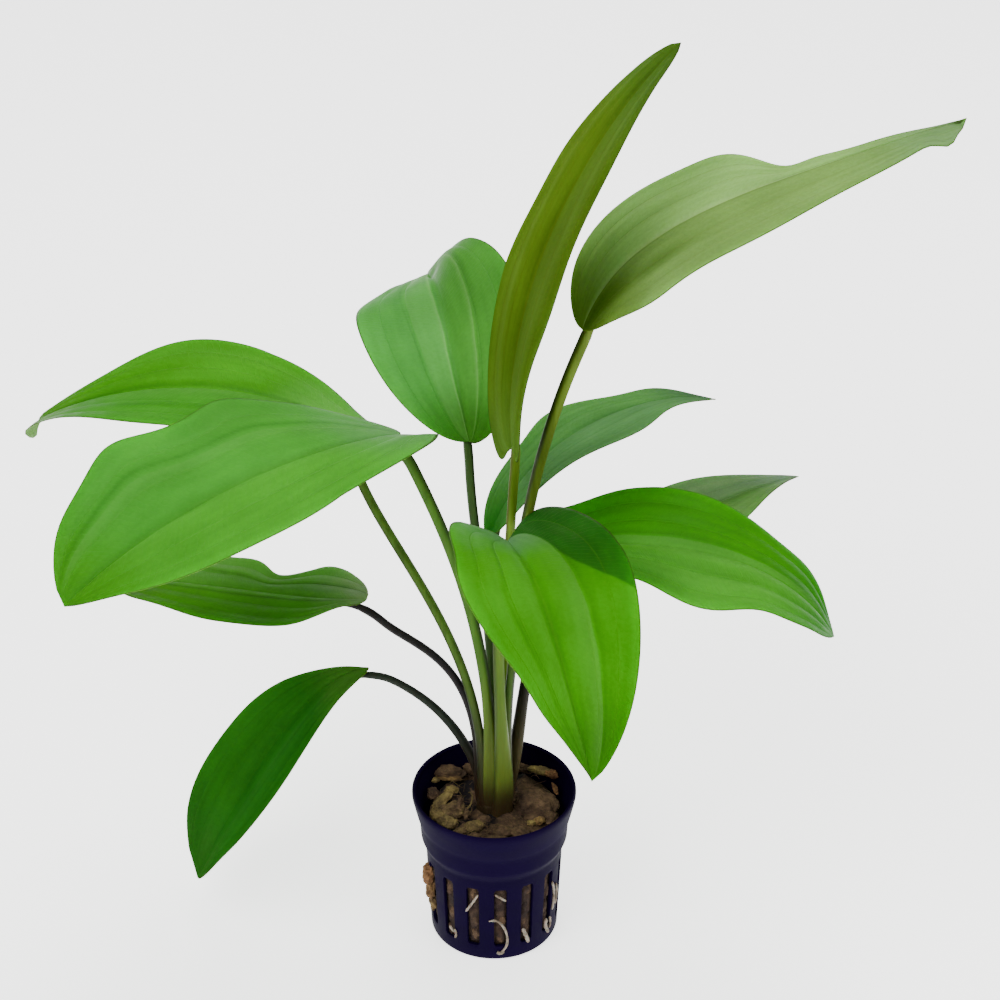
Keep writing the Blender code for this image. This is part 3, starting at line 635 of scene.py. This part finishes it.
def build_wool():
    """The plug: it fills the pot and swells a little into the slots."""
    heights = np.concatenate([[1.8, 3.0], np.arange(4, 47, 1.2)])
    turn = np.radians(np.arange(WOOL_SIDES) * 360 / WOOL_SIDES - 90)
    side = plug_side(heights, turn)
    places = np.concatenate([lathed(side, turn, heights[:, None]), plug_top(side[-1], turn)]).reshape(-1, 3)
    ids = np.arange(len(places)).reshape(-1, WOOL_SIDES)
    ids[-1] = ids[-1, 0]
    faces = ring_faces(ids) + [ids[0, ::-1].tolist()]
    # painted shade in the hollows of the top, fainter on the right and in front, and painted shade on the
    # plug's side in the pot
    hollow_shade = smooth(places[:, 2], 46.5, 48) * smooth(-bumps(places, 0.22, 6), -0.25, 0.1)
    hollow_shade *= 1 - 0.75 * smooth(places[:, 0] - 0.4 * places[:, 1], 1, 6)
    tone = -hollow_shade - np.where(places[:, 2] < WOOL_TOP - 6, 0.52, 0.0)
    wool = mesh_object("wool_plug", places, faces, [wool_material()], {"tone": tone})
    settle(wool, "rock_wool", "rock_wool_plug")


def sphere(rings, sides):
    polar = np.linspace(0, np.pi, rings + 1)
    around = np.linspace(0, 2 * np.pi, sides, endpoint=False)
    points = lathed(np.sin(polar)[:, None], around, np.cos(polar)[:, None]).reshape(-1, 3)
    ids = np.arange(len(points)).reshape(rings + 1, sides)
    ids[0], ids[-1] = ids[0, 0], ids[-1, 0]
    return points, ring_faces(ids, flip=True)


def chunk(centre, size, turn, tilt, tone, seed, rings=34, sides=52):
    """A torn, squashed lump of wool."""
    points, faces = sphere(rings, sides)
    ridge = 1 - 2 * np.abs(bumps(points * np.array((1.0, 2.6, 2.6)), 1.5, seed + 20))
    grow = 1 + 0.30 * bumps(points, 1.4, seed) + 0.20 * bumps(points, 3.4, seed + 40)
    grow = grow + 0.10 * ridge + 0.08 * bumps(points, 9.0, seed + 80)
    shape = points * grow[:, None] * np.array(size)
    c, s = math.cos(math.radians(tilt)), math.sin(math.radians(tilt))
    shape = shape @ np.array([[c, 0, -s], [0, 1, 0], [s, 0, c]])
    c, s = math.cos(math.radians(turn)), math.sin(math.radians(turn))
    shape = shape @ np.array([[c, s, 0], [-s, c, 0], [0, 0, 1]])
    return shape + np.array(centre), faces, {"tone": tone}


# centre, half sizes, turn, tilt and tone (0 brown, 1 olive yellow, 2 orange) of the lumps that the
# photograph shows on top of the plug
CHUNKS = (
    ((-16.2, 16.6, 51.4), (5.6, 3.0, 2.0), -8, 6, 0.3),
    ((-15.6, 13.8, 51.0), (4.4, 1.1, 1.0), -6, 4, 1.5),
    ((-20.2, 13.0, 50.8), (1.5, 1.3, 0.8), 20, 0, 1.1),
    ((-17.6, 0.8, 51.6), (4.8, 1.8, 1.1), 50, -14, 1.05),
    ((-14.4, 5.4, 52.4), (2.4, 1.7, 1.1), 30, 12, 0.95),
    ((-20.6, 5.6, 50.6), (2.0, 2.8, 1.4), 10, 0, 0.15),
    ((-15.6, -10.3, 50.8), (3.4, 2.6, 1.7), -30, -8, 1.2),
    ((-19.0, -5.8, 50.4), (2.4, 2.8, 1.6), 20, 6, 0.75),
    ((-14.2, -3.2, 50.5), (4.3, 3.8, 1.6), 20, -6, 0.5),
    ((-11.8, -1.6, 51.8), (0.9, 3.8, 0.9), -12, 0, 0.05),
    ((-9.4, -5.6, 51.2), (0.8, 2.6, 0.8), -4, 0, 0.3),
    ((-12.4, -5.8, 50.8), (2.2, 1.4, 1.0), 30, 0, 0.6),
    ((-6.6, -12.2, 51.0), (3.2, 2.2, 1.3), 20, 6, 0.7),
    ((-11.2, -14.6, 50.2), (2.8, 1.8, 1.4), 34, 0, 0.5),
    ((-6.4, -17.0, 49.8), (3.0, 1.8, 1.2), 10, 0, 0.3),
    ((2.4, -13.4, 50.2), (4.8, 2.8, 1.2), 0, 0, 0.1),
    ((0.6, -17.8, 49.6), (3.6, 1.8, 1.1), 4, 0, 0.15),
    ((-3.4, -7.8, 50.0), (2.6, 1.8, 1.3), 30, 0, 0.2),
    ((13.6, 1.0, 48.9), (7.0, 8.4, 2.9), 0, 0, 0.1),
    ((15.2, -9.2, 50.8), (2.0, 1.4, 1.2), 20, 0, 1.5),
    ((12.6, -10.2, 50.6), (1.5, 1.1, 0.9), 0, 0, 0.9),
    ((9.0, -14.6, 50.0), (3.6, 2.4, 1.5), -24, 4, 0.2),
    ((18.6, -6.0, 49.6), (2.6, 3.4, 1.6), 20, 0, 0.1),
    ((20.4, 1.0, 49.4), (1.8, 3.8, 1.4), 0, 0, 0.3),
    ((16.4, 16.2, 52.4), (4.6, 1.9, 1.1), -24, -4, 1.0),
    ((20.4, 13.7, 52.8), (2.8, 1.8, 1.3), 15, 8, 1.9),
    ((20.7, 7.8, 51.2), (0.8, 3.0, 0.8), 14, -10, 1.7),
    ((-7.4, 19.6, 50.2), (3.4, 2.2, 1.6), -10, 0, 0.1),
    ((4.4, 19.4, 50.0), (4.0, 2.4, 1.6), 0, 0, 0.0),
    ((9.8, 20.2, 50.4), (3.0, 1.9, 1.4), -20, 0, 0.35),
)


def within_pot(points):
    """The points, with those that would reach into the pot's wall moved in against it."""
    wall = np.interp(points[:, 2], (WAIST_HEIGHT, SHOULDER_HEIGHT, FLARE_HEIGHT, POT_HEIGHT),
                     (WAIST_RADIUS, BAND_RADIUS, BAND_RADIUS + BEAD_OUT, RIM_RADIUS))
    share = np.minimum(1, (wall - POT_WALL - 0.5) / np.hypot(points[:, 0], points[:, 1]))
    return points * np.stack([share, share, np.ones(len(points))], axis=1)


def loose_wool(name, parts, place=np.asarray):
    points, faces, values = join(parts)
    settle(mesh_object(name, place(points), faces, [wool_material()], values), "rock_wool")


def build_chunks():
    parts = [chunk(*lump, 3 + 2 * index) for index, lump in enumerate(CHUNKS)]
    loose_wool("wool_lumps", parts, within_pot)


def on_wall(degrees, height, out):
    angle = math.radians(degrees - 90)
    radius = wall_radius(height) + out
    return np.array([radius * math.cos(angle), radius * math.sin(angle), height])


# degrees, height, how far out, half sizes and tone of each third of the orange-brown lump at the left
SLOT_LUMP = (
    (-75, 25.2, 0.4, (1.9, 2.2, 4.0), 1.7),
    (-72, 19.4, 0.2, (1.7, 2.0, 3.8), 1.55),
    (-71, 14.0, -0.4, (1.4, 1.7, 3.4), 1.4),
)
TUFTS_IN_SLOT = 4
TUFT_SIZE = (0.9, 1.3, 2.7)
TUFT_GRID = (22, 34)  # rings and sides, fewer than a lump's


def build_slot_wool():
    """Wool that swells out of the slots: the large lump at the left, and small tufts."""
    parts = [chunk(on_wall(degrees, height, out), size, degrees - 90, 0, tone, int(height))
             for degrees, height, out, size, tone in SLOT_LUMP]
    for index in range(SLOT_COUNT):
        degrees = SLOT_TURN + SLOT_PITCH * index
        for step in range(TUFTS_IN_SLOT):
            wobble = math.sin(2.3 * index + 1.9 * step)
            centre = on_wall(degrees + 2.0 * wobble, 10 + 6 * step + 1.4 * wobble, -1.75)
            # a tone under 0: painted shade on the tufts deep in the slots
            tone = -0.38 + 0.2 * math.sin(index + 2.0 * step)
            parts.append(chunk(centre, TUFT_SIZE, degrees - 90, 0, tone, 60 + 7 * index + step, *TUFT_GRID))
    loose_wool("wool_in_slots", parts)


FIBRE_COUNT = 130
FIBRE_RADIUS = 0.09
STRAND = ((-8.6, 4.4, 52.0), (-7.9, 3.2, 53.0), (-7.3, 1.2, 53.3), (-7.4, -1.0, 53.0), (-8.0, -2.8, 52.4),
          (-9.0, -4.0, 51.8))


def build_fibres():
    """Loose fibres on the wool's top, and one thicker strand on its left."""
    rng = np.random.default_rng(7)
    parts = []
    for _ in range(FIBRE_COUNT):
        radius = math.sqrt(rng.uniform(0.12, 1)) * 20.5
        angle = rng.uniform(0, 2 * math.pi)
        start = np.array([radius * math.cos(angle), radius * math.sin(angle), WOOL_TOP + 1.6])
        heading = rng.uniform(0, 2 * math.pi)
        length = rng.uniform(2.5, 7)
        bend = rng.uniform(-1.2, 1.2)
        share = np.linspace(0, 1, 7)
        line = start + lathed(share, heading + bend * share, 0.0) * length
        line = line[np.hypot(line[:, 0], line[:, 1]) < 21.5]
        if len(line) < 4:
            continue
        arch = np.sin(share[:len(line)] * math.pi) * rng.uniform(0.2, 1.0)
        line[:, 2] += arch + rng.uniform(-0.8, 1.0)
        fibre = tube(line, FIBRE_RADIUS, FIBRE_RADIUS, 5, (0.3, 0.2, 1))
        parts.append((*fibre, {"tone": rng.uniform(-0.1, 0.6)}))
    parts.append((*tube(STRAND, 0.3, 0.3, 8, (0, 0, 1)), {"tone": 1.0}))
    loose_wool("wool_fibres", parts)


# node, radius and route of each root that shows in the photograph: (degrees from the front, height)
ROOTS = (
    ("root_diagonal", 0.42, ((-24.5, 21.2), (-20.5, 24.2), (-17, 26.8), (-13.5, 29.8))),
    ("root_cross", 0.40, ((0.8, 30.4), (5.3, 29.0), (10.0, 27.4))),
    ("root_hanging", 0.42, ((-4.5, 18.4), (1, 19.0), (6, 17.4), (10, 14.0), (11.8, 10.0), (11.2, 6.8),
                            (7.5, 4.4), (4.0, 3.2))),
    ("root_stub", 0.68, ((25.2, 13.4), (27.6, 10.6), (29.6, 8.4), (31, 6.2))),
    ("root_side", 0.60, ((51.4, 12.4), (50.4, 9.0), (53.6, 6.6), (55.2, 5.0))),
)
# radius and route of the root ends that belong to no node
LOOSE_ROOTS = (
    (0.42, ((-42, 11.4), (-39.5, 10.2), (-37, 9.6))),
    (0.40, ((-36.5, 11.0), (-35.2, 8.8), (-36.4, 7.0))),
    (0.55, ((2.4, 4.2), (5.2, 3.6), (8.8, 4.4))),
    (0.45, ((58, 27), (62, 22.5), (63.5, 17.5), (61, 13.5))),
    (0.40, ((66, 24), (69.5, 19.5), (67, 14.5))),
    (0.45, ((57.5, 11.5), (58.8, 8.4), (57.0, 6.4))),
)


def root_tube(radius, route):
    line = np.array([on_wall(degrees, height, radius - 0.1) for degrees, height in route])
    fine = np.linspace(0, 1, 6 * len(line))
    share = np.linspace(0, 1, len(line))
    line = rounded(np.stack([np.interp(fine, share, line[:, k]) for k in range(3)], axis=1), 10)
    size = radius * (1 + 0.14 * np.sin(21 * fine)) * (0.35 + 0.65 * np.minimum(1, np.sin(np.pi * fine) * 3))
    return tube(line, size, size, 12, (0, 0, 1), (3, 0.04))


def build_roots():
    white = root_material()
    for node, radius, route in ROOTS:
        settle(mesh_object(node + "_fine", *root_tube(radius, route), [white]), "root_white", node)
    points, faces, _ = join([(*root_tube(radius, route), {}) for radius, route in LOOSE_ROOTS])
    settle(mesh_object("root_bits", points, faces, [white]), "root_white")


# Materials

class Shader:
    """A short way to write a material around its Principled BSDF."""

    def __init__(self, name, shine, **constants):
        self.material = bpy.data.materials.new(name)
        self.material.use_nodes = True
        self.tree = self.material.node_tree
        self.surface = self.tree.nodes["Principled BSDF"]
        for key, value in {"Specular_IOR_Level": shine, **constants}.items():
            self.surface.inputs[key.replace("_", " ")].default_value = value

    def put(self, socket, value):
        if isinstance(value, bpy.types.NodeSocket):
            self.tree.links.new(value, socket)
        elif socket.type == "RGBA":
            socket.default_value = (*linear(value), 1)
        else:
            socket.default_value = value

    def node(self, kind, inputs=None, **settings):
        node = self.tree.nodes.new("ShaderNode" + kind)
        for key, value in settings.items():
            setattr(node, key, value)
        for key, value in (inputs or {}).items():
            self.put(node.inputs[key], value)
        return node

    def math(self, operation, *values):
        return self.node("Math", dict(enumerate(values)), operation=operation).outputs[0]

    def plus(self, first, second):
        return self.math("ADD", first, second)

    def minus(self, first, second):
        return self.math("SUBTRACT", first, second)

    def times(self, first, second):
        return self.math("MULTIPLY", first, second)

    def value(self, name):
        return self.node("Attribute", attribute_name=name).outputs["Fac"]

    def place(self, scale=(1, 1, 1)):
        coordinates = self.node("TexCoord").outputs["Object"]
        return self.node("Mapping", {"Vector": coordinates, "Scale": scale}).outputs[0]

    def noise(self, scale, detail=3.0, vector=None, roughness=0.5):
        inputs = {"Vector": vector or self.place(), "Scale": scale, "Detail": detail, "Roughness": roughness}
        return self.node("TexNoise", inputs).outputs["Fac"]

    def jitter(self, scale, reach):
        """Noise around 0 that is about as wide as the reach."""
        return self.times(self.minus(self.noise(scale, 2.0), 0.5), reach)

    def step(self, value, low, high, start=0.0, end=1.0):
        inputs = {"Value": value, "From Min": low, "From Max": high, "To Min": start, "To Max": end}
        return self.node("MapRange", inputs, interpolation_type="SMOOTHSTEP").outputs[0]

    def mix(self, factor, first, second, blend="MIX"):
        inputs = {0: factor, 6: first, 7: second}
        return self.node("Mix", inputs, data_type="RGBA", blend_type=blend).outputs[2]

    def shade(self, colour, factor, dark, light):
        """Multiplies a colour by a grey that runs from dark to light with the factor."""
        grey = self.step(factor, 0.3, 0.7, dark, light)
        grey = self.node("CombineColor", {0: grey, 1: grey, 2: grey}).outputs[0]
        return self.mix(1.0, colour, grey, "MULTIPLY")

    def shade_bands_across(self, shade_bands, across, along):
        """Bands of painted shade and painted sheen across a blade: 0 to 1, where 0.5 leaves the colour as it
        is.
        """
        drift = self.plus(self.times(across, self.step(along, 0.0, 0.9, 1.12, 0.9)), self.jitter(34.0, 0.10))
        ramp = self.node("ValToRGB", {0: self.times(self.plus(drift, 1.0), 0.5)})
        stops = ramp.color_ramp.elements
        while len(stops) < len(shade_bands):
            stops.new(0.5)
        for stop, (place, tone) in zip(stops, shade_bands):
            stop.position = (place + 1) / 2
            grey = 0.5 + tone / 2
            stop.color = (grey, grey, grey, 1)
        return ramp.outputs[0]

    def tone(self, colour, shade_bands, strength):
        """Paints shade on a colour where the bands are under 0.5, and a pale sheen over it."""
        dark = self.times(self.step(shade_bands, 0.0, 0.5, 1.0, 0.0), strength)
        pale = self.times(self.step(shade_bands, 0.5, 1.0), strength)
        # the painted shade colour and the painted sheen colour
        shaded = self.mix(1.0, colour, (118, 128, 118), "MULTIPLY")
        sheened = self.mix(0.45, colour, (168, 206, 132))
        return self.mix(pale, self.mix(dark, colour, shaded), sheened)

    def finish(self, colour, roughness, height=None, depth=0.0002, strength=0.5):
        self.put(self.surface.inputs["Base Color"], colour)
        self.put(self.surface.inputs["Roughness"], roughness)
        if height is not None:
            bump = self.node("Bump", {"Height": height, "Strength": strength, "Distance": depth})
            self.put(self.surface.inputs["Normal"], bump.outputs[0])
        return self.material


def vein_lines(s, across):
    """1 on the long veins and 0 between them."""
    size = s.math("ABSOLUTE", across)
    total = None
    for place, width in zip(VEINS, VEIN_WIDTHS):
        line = s.step(s.math("ABSOLUTE", s.minus(size, place)), 0.0, width, 1.0, 0.0)
        total = line if total is None else s.math("MAXIMUM", total, line)
    return total


def cross_veins(s, across, along):
    """1 on the fine veins that run out and forward from the midrib, and 0 between them."""
    slant = s.minus(s.times(along, 60.0), s.times(s.math("ABSOLUTE", across), 9.0))
    wobble = s.times(s.noise(260.0, 2.0), 1.6)
    return s.step(s.math("SINE", s.times(s.plus(slant, wobble), 6.283)), 0.82, 1.0)


def cast_shadow_share(s, cast_shadow, across, along):
    """Painted shadow of the leaf behind: the part of the left half that lies beyond a line that curves out to
    the margin.
    """
    start, turn, bend = cast_shadow
    line = s.times(s.math("POWER", s.math("MAXIMUM", s.minus(along, turn), 0.0), 2.0), bend)
    beyond = s.minus(s.minus(0.0, across), s.plus(line, start))
    return s.step(s.plus(beyond, s.jitter(60.0, 0.08)), -0.02, 0.03, 0.0, 0.9)


def leaf_material(name, leaf, gloss, upper=False):
    s = Shader("leaf_" + name, leaf.get("shine", USUAL_SHINE), Subsurface_Weight=0.3, Subsurface_Scale=0.0016)
    s.surface.inputs["Subsurface Radius"].default_value = (0.5, 1.0, 0.15)
    along, across, rim = s.value("along"), s.value("across"), s.value("rim")
    left, right, base, tip = leaf["green"]
    vein_colour, vein_strength = leaf["vein"]

    # the halves' own green, one half lighter or darker partly by painted sheen and shade
    colour = s.mix(s.step(across, -0.12, 0.12), left, right)
    patch = s.noise(28.0, 2.0)
    ragged = s.plus(along, s.times(patch, 0.2))
    colour = s.mix(s.step(ragged, 0.08, 0.36, 0.85, 0.0), colour, base)
    colour = s.mix(s.step(ragged, 0.8, 1.05, 0.0, 0.8), colour, tip)
    if "spots" in leaf:
        colour = s.mix(s.value("mark"), colour, leaf["mark"])
    # painted shadow where the leaf behind lies
    if "cast_shadow" in leaf:
        colour = s.mix(cast_shadow_share(s, leaf["cast_shadow"], across, along), colour, leaf["mark"])
    # painted shade along the creases and painted sheen on the raised tissue and paler halves, weaker at the
    # tip
    colour = s.tone(colour, s.shade_bands_across(leaf["shade_bands"], across, along), s.step(along, 0.9, 1.0, 1.0, 0.2))

    streaks = s.node("CombineXYZ", {0: s.times(along, 4.0), 1: s.times(across, 9.0)}).outputs[0]
    grain = s.noise(900.0, 2.0)
    colour = s.shade(colour, s.noise(1.0, 3.0, streaks), 0.92, 1.07)
    colour = s.shade(colour, patch, 0.88, 1.12)
    colour = s.shade(colour, grain, 0.95, 1.05)
    veins, cross = vein_lines(s, across), cross_veins(s, across, along)
    colour = s.mix(s.times(veins, vein_strength * 0.4), colour, vein_colour)
    colour = s.mix(s.times(cross, 0.10), colour, vein_colour)
    if not upper:
        colour = s.mix(0.25, colour, (140, 176, 104))
    colour = s.mix(s.step(rim, 0.2, 0.6, 0.8, 0.0), colour, (46, 56, 24))

    grooves = s.plus(s.times(veins, 0.8 if upper else -0.8), s.times(cross, 0.25))
    height = s.minus(s.times(grain, 0.25), grooves)
    roughness = s.step(s.noise(180.0, 3.0), 0.2, 0.8, gloss - 0.06, gloss + 0.08)
    return s.finish(colour, roughness, height, 0.00025, 0.6)


def stalk_material(name, leaf):
    s = Shader("stalk_" + name, 0.05, Subsurface_Weight=0.15, Subsurface_Scale=0.001)
    foot, head, edge, shade_side = leaf["stem"]
    along, side = s.value("along"), s.value("side")
    colour = s.mix(s.step(along, 0.05, 0.5), foot, head)
    # painted shade down one side of the stalk, the side given by its x
    colour = s.mix(s.step(s.times(side, shade_side), 0.25, 0.9, 0.0, 0.85), colour, edge)
    streak = s.noise(420.0, 3.0, s.place((1, 1, 0.06)))
    colour = s.shade(colour, streak, 0.78, 1.18)
    height = s.node("SeparateXYZ", {0: s.place()}).outputs[2]
    colour = s.mix(s.step(height, BROWN_FOOT * MM, BROWN_END * MM, 0.9, 0.0), colour, (50, 34, 24))
    roughness = s.step(s.noise(300.0), 0.2, 0.8, 0.36, 0.5)
    return s.finish(colour, roughness, streak, 0.0003)


def crown_material():
    s = Shader("crown_stump", 0.04)
    streak = s.noise(300.0, 3.0, s.place((1, 1, 0.12)))
    colour = s.shade(s.mix(streak, (34, 24, 18), (50, 40, 22)), s.noise(120.0), 0.75, 1.15)
    return s.finish(colour, s.step(streak, 0.2, 0.8, 0.5, 0.75), streak, 0.0005, 0.7)


def pot_material():
    s = Shader("pot_plastic", 0.02, Specular_Tint=(0.45, 0.25, 1, 1))
    dust = s.noise(90.0, 5.0)
    colour = s.mix(s.step(dust, 0.45, 0.8, 0.0, 0.3), (10, 3, 29), (16, 8, 36))
    scuff = s.noise(30.0, 4.0, s.place((1, 1, 4)))
    colour = s.shade(colour, scuff, 0.85, 1.15)
    grain = s.noise(1400.0, 2.0)
    roughness = s.step(scuff, 0.25, 0.75, 0.5, 0.66)
    return s.finish(colour, roughness, grain, 0.00006)


@functools.cache
def wool_material():
    s = Shader("wool_look", 0.15)
    tone = s.value("tone")
    fleck = s.noise(700.0, 4.0, roughness=0.7)
    lump = s.noise(170.0, 3.0)
    fibre = s.noise(260.0, 4.0, s.place((1, 0.18, 1)), 0.65)
    light = s.step(lump, 0.35, 0.65)
    brown = s.mix(light, (58, 43, 33), (84, 65, 48))
    olive = s.mix(light, (78, 65, 42), (110, 94, 56))
    orange = s.mix(light, (88, 60, 40), (120, 86, 56))
    colour = s.mix(s.step(s.plus(tone, s.times(lump, 0.5)), 0.5, 1.2), brown, olive)
    colour = s.mix(s.step(tone, 1.25, 1.8), colour, orange)
    # painted shade where the tone is under 0: in hollows, on the plug's side and on the tufts in the slots
    colour = s.mix(s.step(tone, -0.8, -0.1, 1.0, 0.0), colour, (20, 14, 17))
    colour = s.shade(colour, fleck, 0.65, 1.25)
    colour = s.shade(colour, fibre, 0.75, 1.2)
    height = s.plus(s.times(fleck, 0.5), fibre)
    return s.finish(colour, s.step(fleck, 0.2, 0.8, 0.85, 0.98), height, 0.0007, 0.9)


def root_material():
    s = Shader("root_white", 0.2, Subsurface_Weight=0.2, Subsurface_Scale=0.0008)
    spot = s.noise(500.0, 3.0)
    colour = s.mix(s.step(spot, 0.35, 0.7), (128, 118, 106), (84, 72, 58))
    return s.finish(colour, s.step(spot, 0.2, 0.8, 0.4, 0.6), spot, 0.0002, 0.4)


def floor_material():
    s = Shader("floor", 0.1, Emission_Color=(1, 1, 1, 1), Emission_Strength=1.7)
    colour = s.mix(s.noise(3.0), (252, 252, 252), (248, 248, 248))
    return s.finish(colour, 0.8)


# Camera, floor and light, in metres and degrees
CAMERA_TARGET = (0.002, 0, 0.172)
CAMERA_DISTANCE = 0.85
CAMERA_ELEVATION = 32
CAMERA_LENS = 97.2
SENSOR_WIDTH = 36
FLOOR_HALF = 3.0
LIGHT_TARGET = (0, 0, 0.15)
# name, place, width of the disk and power
LIGHTS = (
    ("key", (-0.7, -0.9, 1.5), 1.4, 34),
    ("fill", (1.1, -0.9, 0.9), 1.2, 12),
    ("top", (0.1, 0.5, 1.4), 1.2, 22),
)


def make_camera():
    elevation = math.radians(CAMERA_ELEVATION)
    back = Vector((0, -math.cos(elevation), math.sin(elevation)))
    data = bpy.data.cameras.new("camera")
    data.sensor_width = SENSOR_WIDTH
    data.lens = CAMERA_LENS
    data.clip_start, data.clip_end = 0.05, 20
    camera = add("camera", data)
    camera.location = Vector(CAMERA_TARGET) + back * CAMERA_DISTANCE
    camera.rotation_euler = back.to_track_quat("Z", "Y").to_euler()
    bpy.context.scene.camera = camera


def area_light(name, place, size, power):
    data = bpy.data.lights.new(name, "AREA")
    data.shape = "DISK"
    data.size = size
    data.energy = power
    light = add(name, data)
    light.location = place
    light.rotation_euler = (Vector(place) - Vector(LIGHT_TARGET)).to_track_quat("Z", "Y").to_euler()


def make_studio():
    half = FLOOR_HALF / MM
    points = np.array([(-half, -half, 0), (half, -half, 0), (half, half, 0), (-half, half, 0)])
    floor = mesh_object("floor", points, [(0, 1, 2, 3)], [floor_material()])
    world = bpy.data.worlds.new("studio")
    bpy.context.scene.world = world
    world.use_nodes = True
    background = world.node_tree.nodes["Background"].inputs
    background["Color"].default_value = (1, 1, 1, 1)
    background["Strength"].default_value = 0.5
    for light in LIGHTS:
        area_light(*light)


make_camera()
make_studio()
build_pot()
build_wool()
build_chunks()
build_slot_wool()
build_fibres()
build_roots()
build_crown()
for leaf_name, leaf_values in LEAVES.items():
    build_blade(leaf_name, leaf_values)
    build_stalk(leaf_name, leaf_values)
